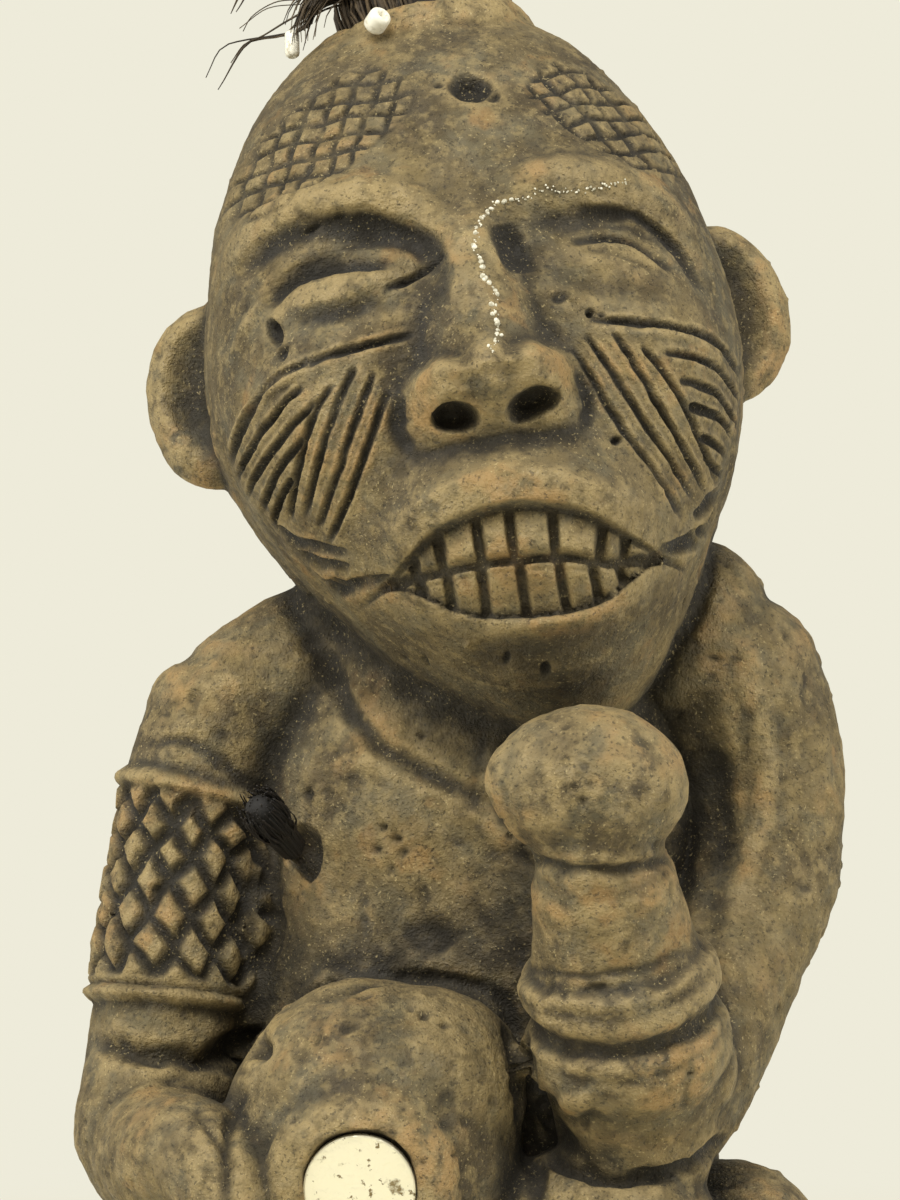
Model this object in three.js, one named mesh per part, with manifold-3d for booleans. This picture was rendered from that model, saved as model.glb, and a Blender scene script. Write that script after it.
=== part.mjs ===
// Seated power figure of dark fired clay, about 29 cm high, with its chin resting on one fist.
// Millimetres, +Z up, the face looks along -Y, the origin is the centre of the base's underside.
// The clay is one solid. The crown charge, two beads, the chest plug and the belly mirror are
// separate pieces, each with a small gap to what carries it.

import * as THREE from 'three';
import { mergeVertices } from 'three/addons/utils/BufferGeometryUtils.js';
import Module from 'manifold-3d';

const wasm = await Module();
wasm.setup();

// Driving dimensions

const GAP = 0.3;

const BASE = { halfWidth: 67.5, halfDepth: 58, height: 9, edge: 1.6, sides: 32 };

// The head has its own axes: u to the viewer's right, v up to the crown, w out of the face.
const HEAD = {
  centre: [1.5, 0, 190],
  roll: 9.5,
  pitch: 14,
  crownReach: 70,
  chinReach: 60.3,
  halfWidth: 45,
  jawTaper: 17.5,
  jawCurve: 1.44,
  jawShift: 6.5,
  frontDepth: 41,
  backDepth: 43,
  foreheadSlope: 1.7,
  napeSlope: 2.3,
  jawSlope: 2,
  roundness: 2.3,
  // Levels of the grid over the face, closer together at the nose's foot and at the lips.
  faceLevels: [
    27, 19.5, 13, 7, 0, -6, -10.5, -14, -17, -20.5, -24.5, -28.3, -31.6, -35, -39, -43, -46.2, -49.4, -54,
  ],
  crownRows: 4,
  jawRows: 2,
  frontColumns: 20,
  backColumns: 6,
};

// Soft swellings and hollows of the face, each a round or oval spot with its rise out of the head.
const FACE_SPOTS = [
  { name: 'brow left', at: [-20, 26], reach: [21, 9], turn: 4, rise: 2.4 },
  { name: 'brow right', at: [23, 22.5], reach: [20, 9], turn: -14, rise: 2.4 },
  { name: 'socket left', at: [-19.5, 13.5], reach: [18, 10.5], turn: 2, rise: -5 },
  { name: 'socket right', at: [22, 10.5], reach: [18, 10], turn: -12, rise: -5 },
  { name: 'lids left', at: [-20.5, 12.6], reach: [15.5, 6.8], turn: 3, rise: 5 },
  { name: 'lids right', at: [23.5, 9.6], reach: [14.5, 6.6], turn: -16, rise: 5 },
  { name: 'cheek left', at: [-30, -7], reach: [17, 18], turn: 0, rise: 2.6 },
  { name: 'cheek right', at: [31, -9], reach: [17, 18], turn: 0, rise: 2.6 },
  { name: 'nose wing left', at: [-9, -12.4], reach: [7, 6.4], turn: 0, rise: 6.2 },
  { name: 'nose wing right', at: [9, -12.8], reach: [7, 6.4], turn: 0, rise: 6.2 },
  { name: 'nose tip', at: [0.6, -10.5], reach: [8, 8], turn: 0, rise: 3.2 },
  { name: 'muzzle', at: [2, -37], reach: [32, 24], turn: 0, rise: 9.5 },
  { name: 'chin', at: [4.5, -52], reach: [16, 9], turn: 0, rise: 3 },
];

const NOSE = { bridge: 21, tip: -10.5, foot: -18.5, bridgeRise: 3, tipRise: 9, bridgeHalf: 8, tipHalf: 12 };

const MOUTH = { at: [2.3, -38.8], turn: -5.5, opening: [18.5, 8.4], lipAt: 1.24, lipHalf: 0.3, lipRise: 2.8, recess: 1.8 };

// Gaps between the teeth, measured along the mouth from its middle.
const TEETH = {
  upperGaps: [-13.4, -8.5, -3.3, 3.4, 9.5, 13.9],
  lowerGaps: [-13.5, -8.3, -2.4, 3.7, 9.4, 14.5],
  gapDepth: 1.2,
  bite: [-19.5, -10, 0, 10, 19.5],
  biteDepth: 1.5,
};

const NOSTRIL = { across: 6.9, level: -15.3, radii: [3.3, 2.3, 4.2], sides: 8 };

// Cuts on the head: a fan is a run of cuts between a first and a last one.
const CUT_DEPTH = 1.15;
const CHEEK_FANS = [
  { cuts: 4, first: [[-16.1, -8.2], [-28.7, -26.6]], last: [[-24, -5.3], [-34, -21.6]] },
  { cuts: 4, first: [[-28.4, -4.4], [-41.4, -11.8]], last: [[-33.5, -16.6], [-37.5, -19.7]] },
  { cuts: 4, first: [[14.3, -6.2], [27.9, -31.7]], last: [[25.7, -6.6], [35.1, -24.5]] },
  { cuts: 5, first: [[29.3, -7.9], [41.8, -11]], last: [[33.8, -22.7], [36.6, -23.5]] },
];
const CHEEK_ARCS = [
  [[-11.1, 0.3], [-19.3, 0.1], [-27.7, -0.6], [-35.2, -2], [-42, -7.4]],
  [[20.5, -2.2], [29, -3], [36, -3.8], [42, -7]],
];
const CORNER_CUTS = [
  [[-38.4, -18.4], [-33.3, -24.7], [-26.6, -29.2]],
  [[-34.6, -25], [-30.7, -29.5], [-26.7, -32.8]],
  [[-33, -28.4], [-30.4, -32], [-26.1, -35.8]],
  [[28.5, -33.4], [32.4, -30], [35.9, -26]],
  [[27.6, -36.6], [31.1, -33.4], [35.4, -28.6]],
];
const EYE_SLITS = [
  [[-33.8, 14.2], [-26.5, 15], [-19.5, 15], [-13, 13.8]],
  [[18.4, 13], [23.6, 12.6], [28, 11.7], [33.1, 8.2]],
];
const SLIT_DEPTH = 1.1;

const CROWN_PIT = { at: [6.3, 44.9], radius: 2.3, depth: 2.4 };

const EAR = {
  centre: [44, 9, -5],
  radii: [11.5, 16.2, 4.6],
  sweep: 14,
  hollowAt: [47.5, 9, -0.6],
  hollowRadii: [4.6, 9.5, 2.6],
};

// The clay collar on the crown, in the head's axes, with its socket.
const COLLAR = { u: 2.6, w: -1, foot: 42, rim: 65.5, footRadius: 21, radius: 19.6, rimRadius: 18.2 };
const SOCKET = { radius: 14.6, floor: 55 };

// Limbs: a path through the limb's middle and its half-thickness at even steps from end to end.
const TRUNK = {
  path: [[0, 14, 34], [0, 14, 60], [1, 13, 90], [1.5, 13, 120], [2, 12, 144], [1, 8, 172]],
  radii: [33, 33, 30, 28, 28, 22, 19],
  widen: 1.32,
};
const SHOULDERS = {
  path: [[-38, 13, 138.5], [-26, 14, 144], [0, 15, 149], [24, 14, 151.5], [38, 13, 149.5]],
  radii: [13.5, 15, 18, 17.5, 16.5],
};
const BELLY = { at: [-15.7, -19, 66], radii: [24.6, 27, 28] };

const RIGHT_ARM = {
  path: [[-41, 13, 135], [-44.5, 11, 126], [-47.5, 9, 112], [-49.8, 6, 96], [-51.4, 3, 80], [-53, -3, 66]],
  radii: [14.2, 13, 12.2, 12.4, 12.4, 12.6, 13],
};
// The armlet runs between two shares of the arm's length: a ridge, rows of lozenges, a ridge.
const ARMLET = { top: 0.17, bottom: 0.69, lozenges: 11, rows: 6, ridge: 0.055, ridgeRise: 1.8, studRise: 1.4 };
const RIGHT_FOREARM = {
  path: [[-52.4, 0, 64], [-49.8, -15, 64.5], [-44, -29, 65.5], [-38.5, -37, 61], [-34, -40, 51]],
  radii: [12.8, 11.6, 9.6, 8, 6.4],
};

const LEFT_ARM = {
  path: [[44, 13, 142.5], [50, 11.5, 126], [49.6, 7, 109], [42.6, -2, 93], [34.4, -13, 78], [28, -20, 69]],
  radii: [16.6, 14.6, 13.2, 12.5, 12.8, 13.4],
};
const LEFT_FOREARM = {
  elbow: [28.2, -20, 66],
  wrist: [20.4, -43.5, 118],
  // Half-thickness at shares of the way up: elbow, lower ring, groove, flange, shaft, waist.
  turned: [
    [0, 12.6], [0.12, 13.4], [0.24, 14.2], [0.31, 16.6], [0.38, 17.1], [0.45, 16], [0.49, 15],
    [0.535, 16.2], [0.575, 15.8], [0.64, 13.6], [0.78, 12], [0.92, 10.8], [1, 10.6],
  ],
};
const FIST = { at: [19.2, -43.5, 126.6], radii: [15.8, 14, 12.4], turn: [0, 5, 0] };

// Each leg runs from the hip over the raised knee down to the toes.
const LEFT_LEG = {
  path: [[20, 24, 28], [37, 6, 44], [44.5, -10, 46], [40, -22, 29], [35.5, -31, 15], [32.5, -42, 13]],
  radii: [21, 19, 17, 15.5, 13, 10.6, 9, 7.4],
};
const RIGHT_LEG = {
  path: [[-20, 24, 28], [-37, 6, 40], [-45, -11, 42], [-42, -22, 28], [-37, -31, 15], [-33.5, -42, 13]],
  radii: [21, 18.5, 16.4, 15, 12.8, 10.6, 9, 7.4],
};
const LAP = { at: [0, -12, 27], radii: [36, 30, 25] };

const CHARGE = {
  plugRadius: 14.6 - GAP,
  tuftRadius: 17.2,
  top: 98,
  topRadius: 9,
  lock: { path: [[-9, 72, 6], [-14.5, 71, 9], [-17.8, 67.5, 11], [-19.3, 63.6, 12]], radii: [3, 2.8, 2.4, 1.3] },
};

const BEADS = [
  { name: 'bead_1', at: [-6.5, 62, 18.6], radius: 1.9, hole: 0.55, length: 3.6, turn: [70, 0, 35] },
  { name: 'bead_2', at: [-20.8, 65.8, 4], radius: 1.25, hole: 0.4, length: 4.8, turn: [0, 8, 0] },
];

const CHEST_PLUG = {
  root: [-29.6, -8, 115.4],
  tip: [-35, -22, 123],
  holeRadius: 3.7,
  depth: 7,
  turned: [[0, 3], [0.3, 3.3], [0.48, 3.4], [0.66, 4.3], [0.86, 4.5], [1, 3.4]],
};

const MIRROR = { at: [-17.4, -45.6, 62.4], radius: 9, thickness: 1.6, recess: 2.6, tip: -4, lean: 7, sides: 24 };

// Shared helpers

const rad = THREE.MathUtils.degToRad;
const vec = (p) => new THREE.Vector3(p[0], p[1], p[2]);
const smooth = (value, low, high) => THREE.MathUtils.smoothstep(value, low, high);

// Turns a closed three.js geometry into a solid, merging its seams and facing it outwards.
function solidOf(geometry) {
  const plain = geometry.clone();
  plain.deleteAttribute('normal');
  plain.deleteAttribute('uv');
  const merged = mergeVertices(plain, 1e-4);
  const points = merged.attributes.position.array;
  const corners = merged.index.array;
  const kept = [];
  let volume = 0;
  const [a, b, c] = [new THREE.Vector3(), new THREE.Vector3(), new THREE.Vector3()];
  for (let i = 0; i < corners.length; i += 3) {
    const [p, q, r] = [corners[i], corners[i + 1], corners[i + 2]];
    if (p === q || q === r || r === p) {
      continue;
    }
    a.fromArray(points, p * 3);
    b.fromArray(points, q * 3);
    c.fromArray(points, r * 3);
    volume += a.dot(b.clone().cross(c)) / 6;
    kept.push([p, q, r]);
  }
  const triVerts = kept.flatMap(([p, q, r]) => (volume > 0 ? [p, q, r] : [p, r, q]));
  return new wasm.Manifold(new wasm.Mesh({
    numProp: 3,
    vertProperties: new Float32Array(points),
    triVerts: new Uint32Array(triVerts),
  }));
}

// Turns a solid back into a geometry with one flat normal for each face.
function geometryOf(solid) {
  const mesh = solid.getMesh();
  const geometry = new THREE.BufferGeometry();
  geometry.setAttribute('position', new THREE.BufferAttribute(mesh.vertProperties, mesh.numProp));
  geometry.setIndex(new THREE.BufferAttribute(mesh.triVerts, 1));
  geometry.computeVertexNormals();
  return geometry;
}

function joined(solids) {
  return solids.reduce((whole, solid) => whole.add(solid));
}

function without(solid, cutters) {
  return cutters.reduce((whole, cutter) => whole.subtract(cutter), solid);
}

// An ellipsoid with half-axes radii, turned by degrees about X, Y and Z.
function blob({ at, radii, turn = [0, 0, 0] }, columns = 18, rows = 12) {
  const geometry = new THREE.SphereGeometry(1, columns, rows);
  geometry.rotateX(Math.PI / 2);
  geometry.scale(radii[0], radii[1], radii[2]);
  geometry.applyMatrix4(new THREE.Matrix4().makeRotationFromEuler(
    new THREE.Euler(rad(turn[0]), rad(turn[1]), rad(turn[2])),
  ));
  geometry.translate(at[0], at[1], at[2]);
  return solidOf(geometry);
}

// A round limb: a turned profile bent along a smooth curve.
class Limb {
  constructor(path, profile, reference = new THREE.Vector3(1, 0, 0), widen = 1) {
    this.curve = new THREE.CatmullRomCurve3(path.map(vec));
    this.length = this.curve.getLength();
    this.profile = profile;
    this.reference = reference;
    this.widen = widen;
  }

  // The half-thickness at a share of the length, between the profile's stations.
  radiusAt(share) {
    const next = Math.max(1, this.profile.findIndex(([s]) => s >= share));
    const [from, to] = [this.profile[next - 1], this.profile[next]];
    const part = THREE.MathUtils.clamp((share - from[0]) / (to[0] - from[0]), 0, 1);
    return THREE.MathUtils.lerp(from[1], to[1], part);
  }

  // The point at a distance along the curve, offset sideways in the curve's own frame.
  placed(along, sideX, sideZ) {
    const held = THREE.MathUtils.clamp(along, 0, this.length);
    const share = held / this.length;
    const tangent = this.curve.getTangentAt(share);
    const across = new THREE.Vector3().crossVectors(this.reference, tangent).normalize();
    const up = new THREE.Vector3().crossVectors(tangent, across);
    return this.curve.getPointAt(share)
      .addScaledVector(tangent, along - held)
      .addScaledVector(across, sideX)
      .addScaledVector(up, sideZ * this.widen);
  }

  // A point on the skin at a share of the length and an angle around it.
  onSkin(share, angle, lift = 0) {
    const radius = this.radiusAt(share) + lift;
    return this.placed(share * this.length, radius * Math.cos(angle), radius * Math.sin(angle));
  }

  solid(sides, capDepth = 0.85, capSteps = 3) {
    const first = this.profile[0][1];
    const last = this.profile[this.profile.length - 1][1];
    const outline = [];
    for (let i = 0; i < capSteps; i += 1) {
      const angle = (i / capSteps) * Math.PI / 2;
      outline.push(new THREE.Vector2(first * Math.sin(angle), -first * capDepth * Math.cos(angle)));
    }
    for (const [share, radius] of this.profile) {
      outline.push(new THREE.Vector2(radius, share * this.length));
    }
    for (let i = capSteps - 1; i >= 0; i -= 1) {
      const angle = (i / capSteps) * Math.PI / 2;
      outline.push(new THREE.Vector2(last * Math.sin(angle), this.length + last * capDepth * Math.cos(angle)));
    }
    const geometry = new THREE.LatheGeometry(outline, sides);
    const place = geometry.attributes.position;
    for (let i = 0; i < place.count; i += 1) {
      const point = this.placed(place.getY(i), place.getX(i), place.getZ(i));
      place.setXYZ(i, point.x, point.y, point.z);
    }
    return solidOf(geometry);
  }
}

// Even stations along a limb, its half-thickness a smooth curve through the given values.
function swelling(radii, steps) {
  const curve = new THREE.SplineCurve(radii.map((r, i) => new THREE.Vector2(i / (radii.length - 1), r)));
  return Array.from({ length: steps + 1 }, (_, i) => [i / steps, curve.getPoint(i / steps).y]);
}

function limb({ path, radii, widen = 1 }, sides, steps, reference = undefined) {
  return new Limb(path, swelling(radii, steps), reference, widen).solid(sides);
}

// A thin pointed cutter along a line of points, as deep and half as wide as its radius.
function cutAlong(points, depth, sides = 4, steps = 4) {
  const taper = Array.from({ length: steps + 1 }, (_, i) => {
    const fullness = Math.sin(Math.PI * (0.14 + 0.72 * (i / steps)));
    return [i / steps, depth * (0.35 + 0.65 * fullness)];
  });
  const line = new Limb(points.map((p) => [p.x, p.y, p.z]), taper, new THREE.Vector3(0.31, 0.11, 0.94));
  return line.solid(sides, 0.9, 1);
}

// The head

const headTurn = new THREE.Matrix4().multiplyMatrices(
  new THREE.Matrix4().makeRotationX(-rad(HEAD.pitch)),
  new THREE.Matrix4().makeRotationY(-rad(HEAD.roll)),
);
const headPlace = new THREE.Matrix4().makeTranslation(...HEAD.centre).multiply(headTurn);

// A point given in the head's u, v, w as a point of the whole figure.
function inHead(u, v, w) {
  return new THREE.Vector3(u, -w, v).applyMatrix4(headPlace);
}

// The middle of the head at a level: the chin leans towards the fist.
function headMiddle(v) {
  return HEAD.jawShift * (Math.max(0, -v) / HEAD.chinReach) ** 2;
}

function headReach(v) {
  return v >= 0 ? HEAD.crownReach : HEAD.chinReach;
}

function headHalfWidth(v) {
  const taper = HEAD.jawTaper * Math.pow(Math.max(0, -v) / HEAD.chinReach, HEAD.jawCurve);
  return (HEAD.halfWidth - taper) * Math.sqrt(Math.max(0, 1 - (v / headReach(v)) ** 2));
}

function headDepth(v, inFront) {
  const upper = inFront ? HEAD.foreheadSlope : HEAD.napeSlope;
  const slope = v >= 0 ? upper : HEAD.jawSlope;
  const left = 1 - Math.pow(Math.abs(v) / headReach(v), slope);
  return (inFront ? HEAD.frontDepth : HEAD.backDepth) * Math.pow(Math.max(0, left), 1 / slope);
}

// A smooth dome of height 1 over an oval spot, nought outside it.
function dome(u, v, { at, reach, turn = 0 }) {
  const [du, dv] = [u - at[0], v - at[1]];
  const [c, s] = [Math.cos(rad(turn)), Math.sin(rad(turn))];
  const share = ((du * c + dv * s) / reach[0]) ** 2 + ((dv * c - du * s) / reach[1]) ** 2;
  return share < 1 ? (1 - share) ** 2 : 0;
}

function noseRise(u, v) {
  const down = THREE.MathUtils.clamp((NOSE.bridge - v) / (NOSE.bridge - NOSE.tip), 0, 1);
  const half = THREE.MathUtils.lerp(NOSE.bridgeHalf, NOSE.tipHalf, down);
  const across = Math.min(1, Math.abs(u) / half);
  const root = 1 - smooth(v, NOSE.bridge - 7, NOSE.bridge + 5);
  const foot = smooth(v, NOSE.foot, NOSE.foot + 5);
  const height = THREE.MathUtils.lerp(NOSE.bridgeRise, NOSE.tipRise, down ** 1.4);
  return height * (1 - across ** 2) ** 1.5 * root * foot;
}

// Nought in the middle of the mouth, one at the edge of its opening.
function mouthShare(u, v) {
  const [du, dv] = [u - MOUTH.at[0], v - MOUTH.at[1]];
  const [c, s] = [Math.cos(rad(MOUTH.turn)), Math.sin(rad(MOUTH.turn))];
  return Math.hypot((du * c + dv * s) / MOUTH.opening[0], (dv * c - du * s) / MOUTH.opening[1]);
}

// The u, v point at x along the mouth and y above its middle.
function inMouth(x, y) {
  const [c, s] = [Math.cos(rad(MOUTH.turn)), Math.sin(rad(MOUTH.turn))];
  return [MOUTH.at[0] + x * c - y * s, MOUTH.at[1] + x * s + y * c];
}

function mouthRise(u, v) {
  const share = mouthShare(u, v);
  const band = Math.min(1, Math.abs(share - MOUTH.lipAt) / MOUTH.lipHalf);
  return MOUTH.lipRise * (1 - band ** 2) ** 2 - MOUTH.recess * (1 - smooth(share, 0.85, 1.05));
}

// How far the face stands out of the plain skull at u, v, fading out at the sides.
function faceRelief(u, v) {
  const half = headHalfWidth(v);
  if (half < 0.5) {
    return 0;
  }
  const spots = FACE_SPOTS.reduce((sum, spot) => sum + spot.rise * dome(u, v, spot), 0);
  const fade = 1 - smooth(Math.abs(u - headMiddle(v)) / half, 0.84, 1);
  return fade * (spots + noseRise(u, v) + mouthRise(u, v));
}

// The face's surface at u, v, lifted by some distance.
function onFace([u, v], lift = 0) {
  const across = Math.min(0.999, Math.abs(u - headMiddle(v)) / headHalfWidth(v));
  const plain = headDepth(v, true) * (1 - across ** HEAD.roundness) ** (1 / HEAD.roundness);
  return inHead(u, v, plain + faceRelief(u, v) + lift);
}

// The level of a row of the head's grid, close together over the face.
function headLevel(row) {
  const { crownRows, faceLevels, jawRows, crownReach, chinReach } = HEAD;
  const lastRow = crownRows + faceLevels.length - 1;
  if (row < crownRows) {
    const start = Math.asin(faceLevels[0] / crownReach);
    return crownReach * Math.sin(THREE.MathUtils.lerp(Math.PI / 2, start, row / crownRows));
  }
  if (row <= lastRow) {
    return faceLevels[row - crownRows];
  }
  const start = Math.asin(-faceLevels[faceLevels.length - 1] / chinReach);
  return -chinReach * Math.sin(THREE.MathUtils.lerp(start, Math.PI / 2, (row - lastRow) / jawRows));
}

function headSolid() {
  const columns = HEAD.frontColumns + HEAD.backColumns;
  const rows = HEAD.crownRows + HEAD.faceLevels.length - 1 + HEAD.jawRows;
  const geometry = new THREE.SphereGeometry(1, columns, rows);
  const place = geometry.attributes.position;
  for (let i = 0; i < place.count; i += 1) {
    const row = Math.floor(i / (columns + 1));
    const column = (i % (columns + 1)) % columns;
    const v = headLevel(row);
    const inFront = column < HEAD.frontColumns;
    const share = inFront ? column / HEAD.frontColumns : (column - HEAD.frontColumns) / HEAD.backColumns;
    const even = 1 - 2 * share;
    const spread = Math.sin((even * Math.PI) / 2);
    const across = inFront ? 0.62 * even + 0.38 * spread : -spread;
    const out = Math.max(0, 1 - Math.abs(across) ** HEAD.roundness) ** (1 / HEAD.roundness);
    const u = headMiddle(v) + across * headHalfWidth(v);
    const depth = headDepth(v, inFront) * (inFront ? 1 : -1);
    const w = depth * out + (inFront ? faceRelief(u, v) : 0);
    const point = inHead(u, v, w);
    place.setXYZ(i, point.x, point.y, point.z);
  }
  return solidOf(geometry);
}

function earSolid(side) {
  const geometry = new THREE.SphereGeometry(1, 10, 8);
  geometry.rotateX(Math.PI / 2);
  geometry.scale(EAR.radii[0], EAR.radii[2], EAR.radii[1]);
  geometry.rotateZ(side * rad(EAR.sweep));
  geometry.translate(side * EAR.centre[0], -EAR.centre[2], EAR.centre[1]);
  geometry.applyMatrix4(headPlace);
  return solidOf(geometry);
}

function earHollow(side) {
  const geometry = new THREE.SphereGeometry(1, 8, 6);
  geometry.scale(EAR.hollowRadii[0], EAR.hollowRadii[2], EAR.hollowRadii[1]);
  geometry.rotateZ(side * rad(EAR.sweep));
  geometry.translate(side * EAR.hollowAt[0], -EAR.hollowAt[2], EAR.hollowAt[1]);
  geometry.applyMatrix4(headPlace);
  return solidOf(geometry);
}

// A turned shape about the crown's axis, from [radius, level] pairs.
function crownTurned(profile, sides) {
  const geometry = new THREE.LatheGeometry(profile.map(([r, v]) => new THREE.Vector2(r, v)), sides);
  geometry.rotateX(Math.PI / 2);
  geometry.translate(COLLAR.u, -COLLAR.w, 0);
  geometry.applyMatrix4(headPlace);
  return solidOf(geometry);
}

function collarSolid() {
  const { foot, rim, footRadius, radius, rimRadius } = COLLAR;
  return crownTurned([
    [0, foot], [footRadius, foot], [footRadius - 0.6, foot + 9], [radius, foot + 15],
    [rimRadius, rim - 1.2], [rimRadius - 1.2, rim], [0, rim],
  ], 18);
}

// The round socket, and the trim of the skull level with the collar's rim.
function socketCutter() {
  const [trim, above] = [COLLAR.rim + 0.05, HEAD.crownReach + 2];
  return crownTurned([
    [0, SOCKET.floor], [SOCKET.radius, SOCKET.floor], [SOCKET.radius, trim],
    [COLLAR.footRadius + 3, trim], [COLLAR.footRadius + 3, above], [0, above],
  ], 16);
}

function between(from, to, share) {
  return [0, 1].map((i) => THREE.MathUtils.lerp(from[i], to[i], share));
}

// The cuts of one fan, each a line of u, v points.
function fanCuts({ cuts, first, last }) {
  return Array.from({ length: cuts }, (_, i) => {
    const share = i / (cuts - 1);
    const start = between(first[0], last[0], share);
    const end = between(first[1], last[1], share);
    return [start, between(start, end, 0.5), end];
  });
}

// The line of one gap between teeth, from the bite to the gum above or below it.
function toothGap(x, side) {
  const reach = MOUTH.opening[1] * Math.sqrt(1 - (x / MOUTH.opening[0]) ** 2);
  return [inMouth(x, side * 0.4), inMouth(x, side * reach)];
}

function headCutters() {
  const onSkin = (line) => line.map((p) => onFace(p));
  const { upperGaps, lowerGaps, gapDepth, bite, biteDepth } = TEETH;
  return [
    ...CHEEK_FANS.flatMap(fanCuts).map((line) => cutAlong(onSkin(line), CUT_DEPTH, 3, 2)),
    ...CHEEK_ARCS.map((line) => cutAlong(onSkin(line), CUT_DEPTH, 3, 4)),
    ...CORNER_CUTS.map((line) => cutAlong(onSkin(line), CUT_DEPTH * 0.9, 3, 2)),
    ...EYE_SLITS.map((line) => cutAlong(onSkin(line), SLIT_DEPTH, 3, 3)),
    cutAlong(onSkin(bite.map((x) => inMouth(x, 0))), biteDepth, 3, 4),
    ...upperGaps.map((x) => cutAlong(onSkin(toothGap(x, 1)), gapDepth, 3, 1)),
    ...lowerGaps.map((x) => cutAlong(onSkin(toothGap(x, -1)), gapDepth, 3, 1)),
  ];
}

function headPits() {
  const pit = ({ at, radius, depth = radius }) => {
    const mid = onFace(at, 0.2 * radius);
    return blob({ at: [mid.x, mid.y, mid.z], radii: [radius, depth, radius] }, 8, 6);
  };
  const nostrils = [-1, 1].map((side) => {
    const { across, level, radii } = NOSTRIL;
    const mid = onFace([side * across, level], -0.6);
    return blob({ at: [mid.x, mid.y, mid.z], radii, turn: [50, 0, 0] }, NOSTRIL.sides, 5);
  });
  return [pit(CROWN_PIT), ...nostrils];
}

// The body

function baseSolid() {
  const { halfWidth, halfDepth, height, edge, sides } = BASE;
  const inset = 1 - edge / halfWidth;
  const outline = [[0, 0], [1 - 0.4 * (1 - inset), 0], [1, edge], [1, height - edge], [inset, height], [0, height]];
  const geometry = new THREE.LatheGeometry(outline.map(([r, z]) => new THREE.Vector2(r, z)), sides);
  geometry.rotateX(Math.PI / 2);
  geometry.scale(halfWidth, halfDepth, 1);
  return solidOf(geometry);
}

function rightArm() {
  return new Limb(RIGHT_ARM.path, swelling(RIGHT_ARM.radii, 10));
}

// The armlet: a sleeve on the arm whose skin rises in studs between slanted rows of low points.
function armletSolid(arm) {
  const { top, bottom, lozenges, rows, ridge, ridgeRise, studRise } = ARMLET;
  const [first, last] = [top + ridge, bottom - ridge];
  const hatched = Array.from({ length: rows + 1 }, (_, i) => THREE.MathUtils.lerp(first, last, i / rows));
  const stations = [
    [top - 0.012, -0.3], [top, ridgeRise], [top + ridge * 0.7, ridgeRise],
    ...hatched.map((share, i) => [share, 'stud', i]),
    [bottom - ridge * 0.7, ridgeRise], [bottom, ridgeRise], [bottom + 0.012, -0.3],
  ];
  const sides = 2 * lozenges;
  const outline = [[0, stations[0][0]], ...stations.map(([share]) => [1, share]), [0, bottom + 0.012]];
  const geometry = new THREE.LatheGeometry(outline.map(([r, share]) => new THREE.Vector2(r, share)), sides);
  const place = geometry.attributes.position;
  for (let i = 0; i < place.count; i += 1) {
    const column = Math.floor(i / outline.length);
    const line = i % outline.length;
    const share = outline[line][1];
    if (line === 0 || line === outline.length - 1) {
      const centre = arm.placed(share * arm.length, 0, 0);
      place.setXYZ(i, centre.x, centre.y, centre.z);
      continue;
    }
    const [, rise, row] = stations[line - 1];
    const high = (column + (row || 0)) % 2 === 0;
    const lift = rise === 'stud' ? (high ? studRise : 0.1) : rise;
    const point = arm.onSkin(share, (column / sides) * 2 * Math.PI, lift);
    place.setXYZ(i, point.x, point.y, point.z);
  }
  return solidOf(geometry);
}

function forearmSolid() {
  const { elbow, wrist, turned } = LEFT_FOREARM;
  const middle = vec(elbow).lerp(vec(wrist), 0.5);
  return new Limb([elbow, [middle.x + 0.6, middle.y, middle.z], wrist], turned).solid(14);
}

// The seats of the separate pieces

function chestPlugLine() {
  return new Limb([CHEST_PLUG.root, CHEST_PLUG.tip], CHEST_PLUG.turned);
}

function chestHole() {
  const { root, tip, holeRadius } = CHEST_PLUG;
  const direction = vec(tip).sub(vec(root)).normalize();
  const floor = vec(root).addScaledVector(direction, -3.2);
  const mouth = vec(root).addScaledVector(direction, 22);
  const line = new Limb([[floor.x, floor.y, floor.z], [mouth.x, mouth.y, mouth.z]], [[0, holeRadius], [1, holeRadius]]);
  return line.solid(12, 0.1, 1);
}

// A disc square to the belly's skin, its back face some way into the clay.
function mirrorDisc(radius, thickness, back) {
  const geometry = new THREE.CylinderGeometry(radius, radius, thickness, MIRROR.sides);
  geometry.translate(0, back - thickness / 2, 0);
  geometry.rotateX(rad(MIRROR.lean));
  geometry.rotateZ(rad(MIRROR.tip));
  geometry.translate(...MIRROR.at);
  return solidOf(geometry);
}

// The clay

function figureSolid() {
  const sideways = new THREE.Vector3(0, 0, 1);
  const arm = rightArm();
  const clay = joined([
    baseSolid(),
    limb(TRUNK, 16, 8),
    blob(LAP, 12, 7),
    limb(SHOULDERS, 10, 6, sideways),
    arm.solid(12),
    armletSolid(arm),
    limb(RIGHT_FOREARM, 10, 6),
    limb(LEFT_ARM, 12, 7),
    forearmSolid(),
    blob(FIST, 14, 9),
    blob(BELLY, 18, 11),
    limb(LEFT_LEG, 10, 9),
    limb(RIGHT_LEG, 10, 9),
    headSolid(),
    earSolid(1),
    earSolid(-1),
    collarSolid(),
  ]);
  return without(clay, [
    socketCutter(),
    earHollow(1),
    earHollow(-1),
    ...headPits(),
    ...headCutters(),
    chestHole(),
    mirrorDisc(MIRROR.radius + GAP, MIRROR.recess + 6, MIRROR.recess),
  ]);
}

// The separate pieces

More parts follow.
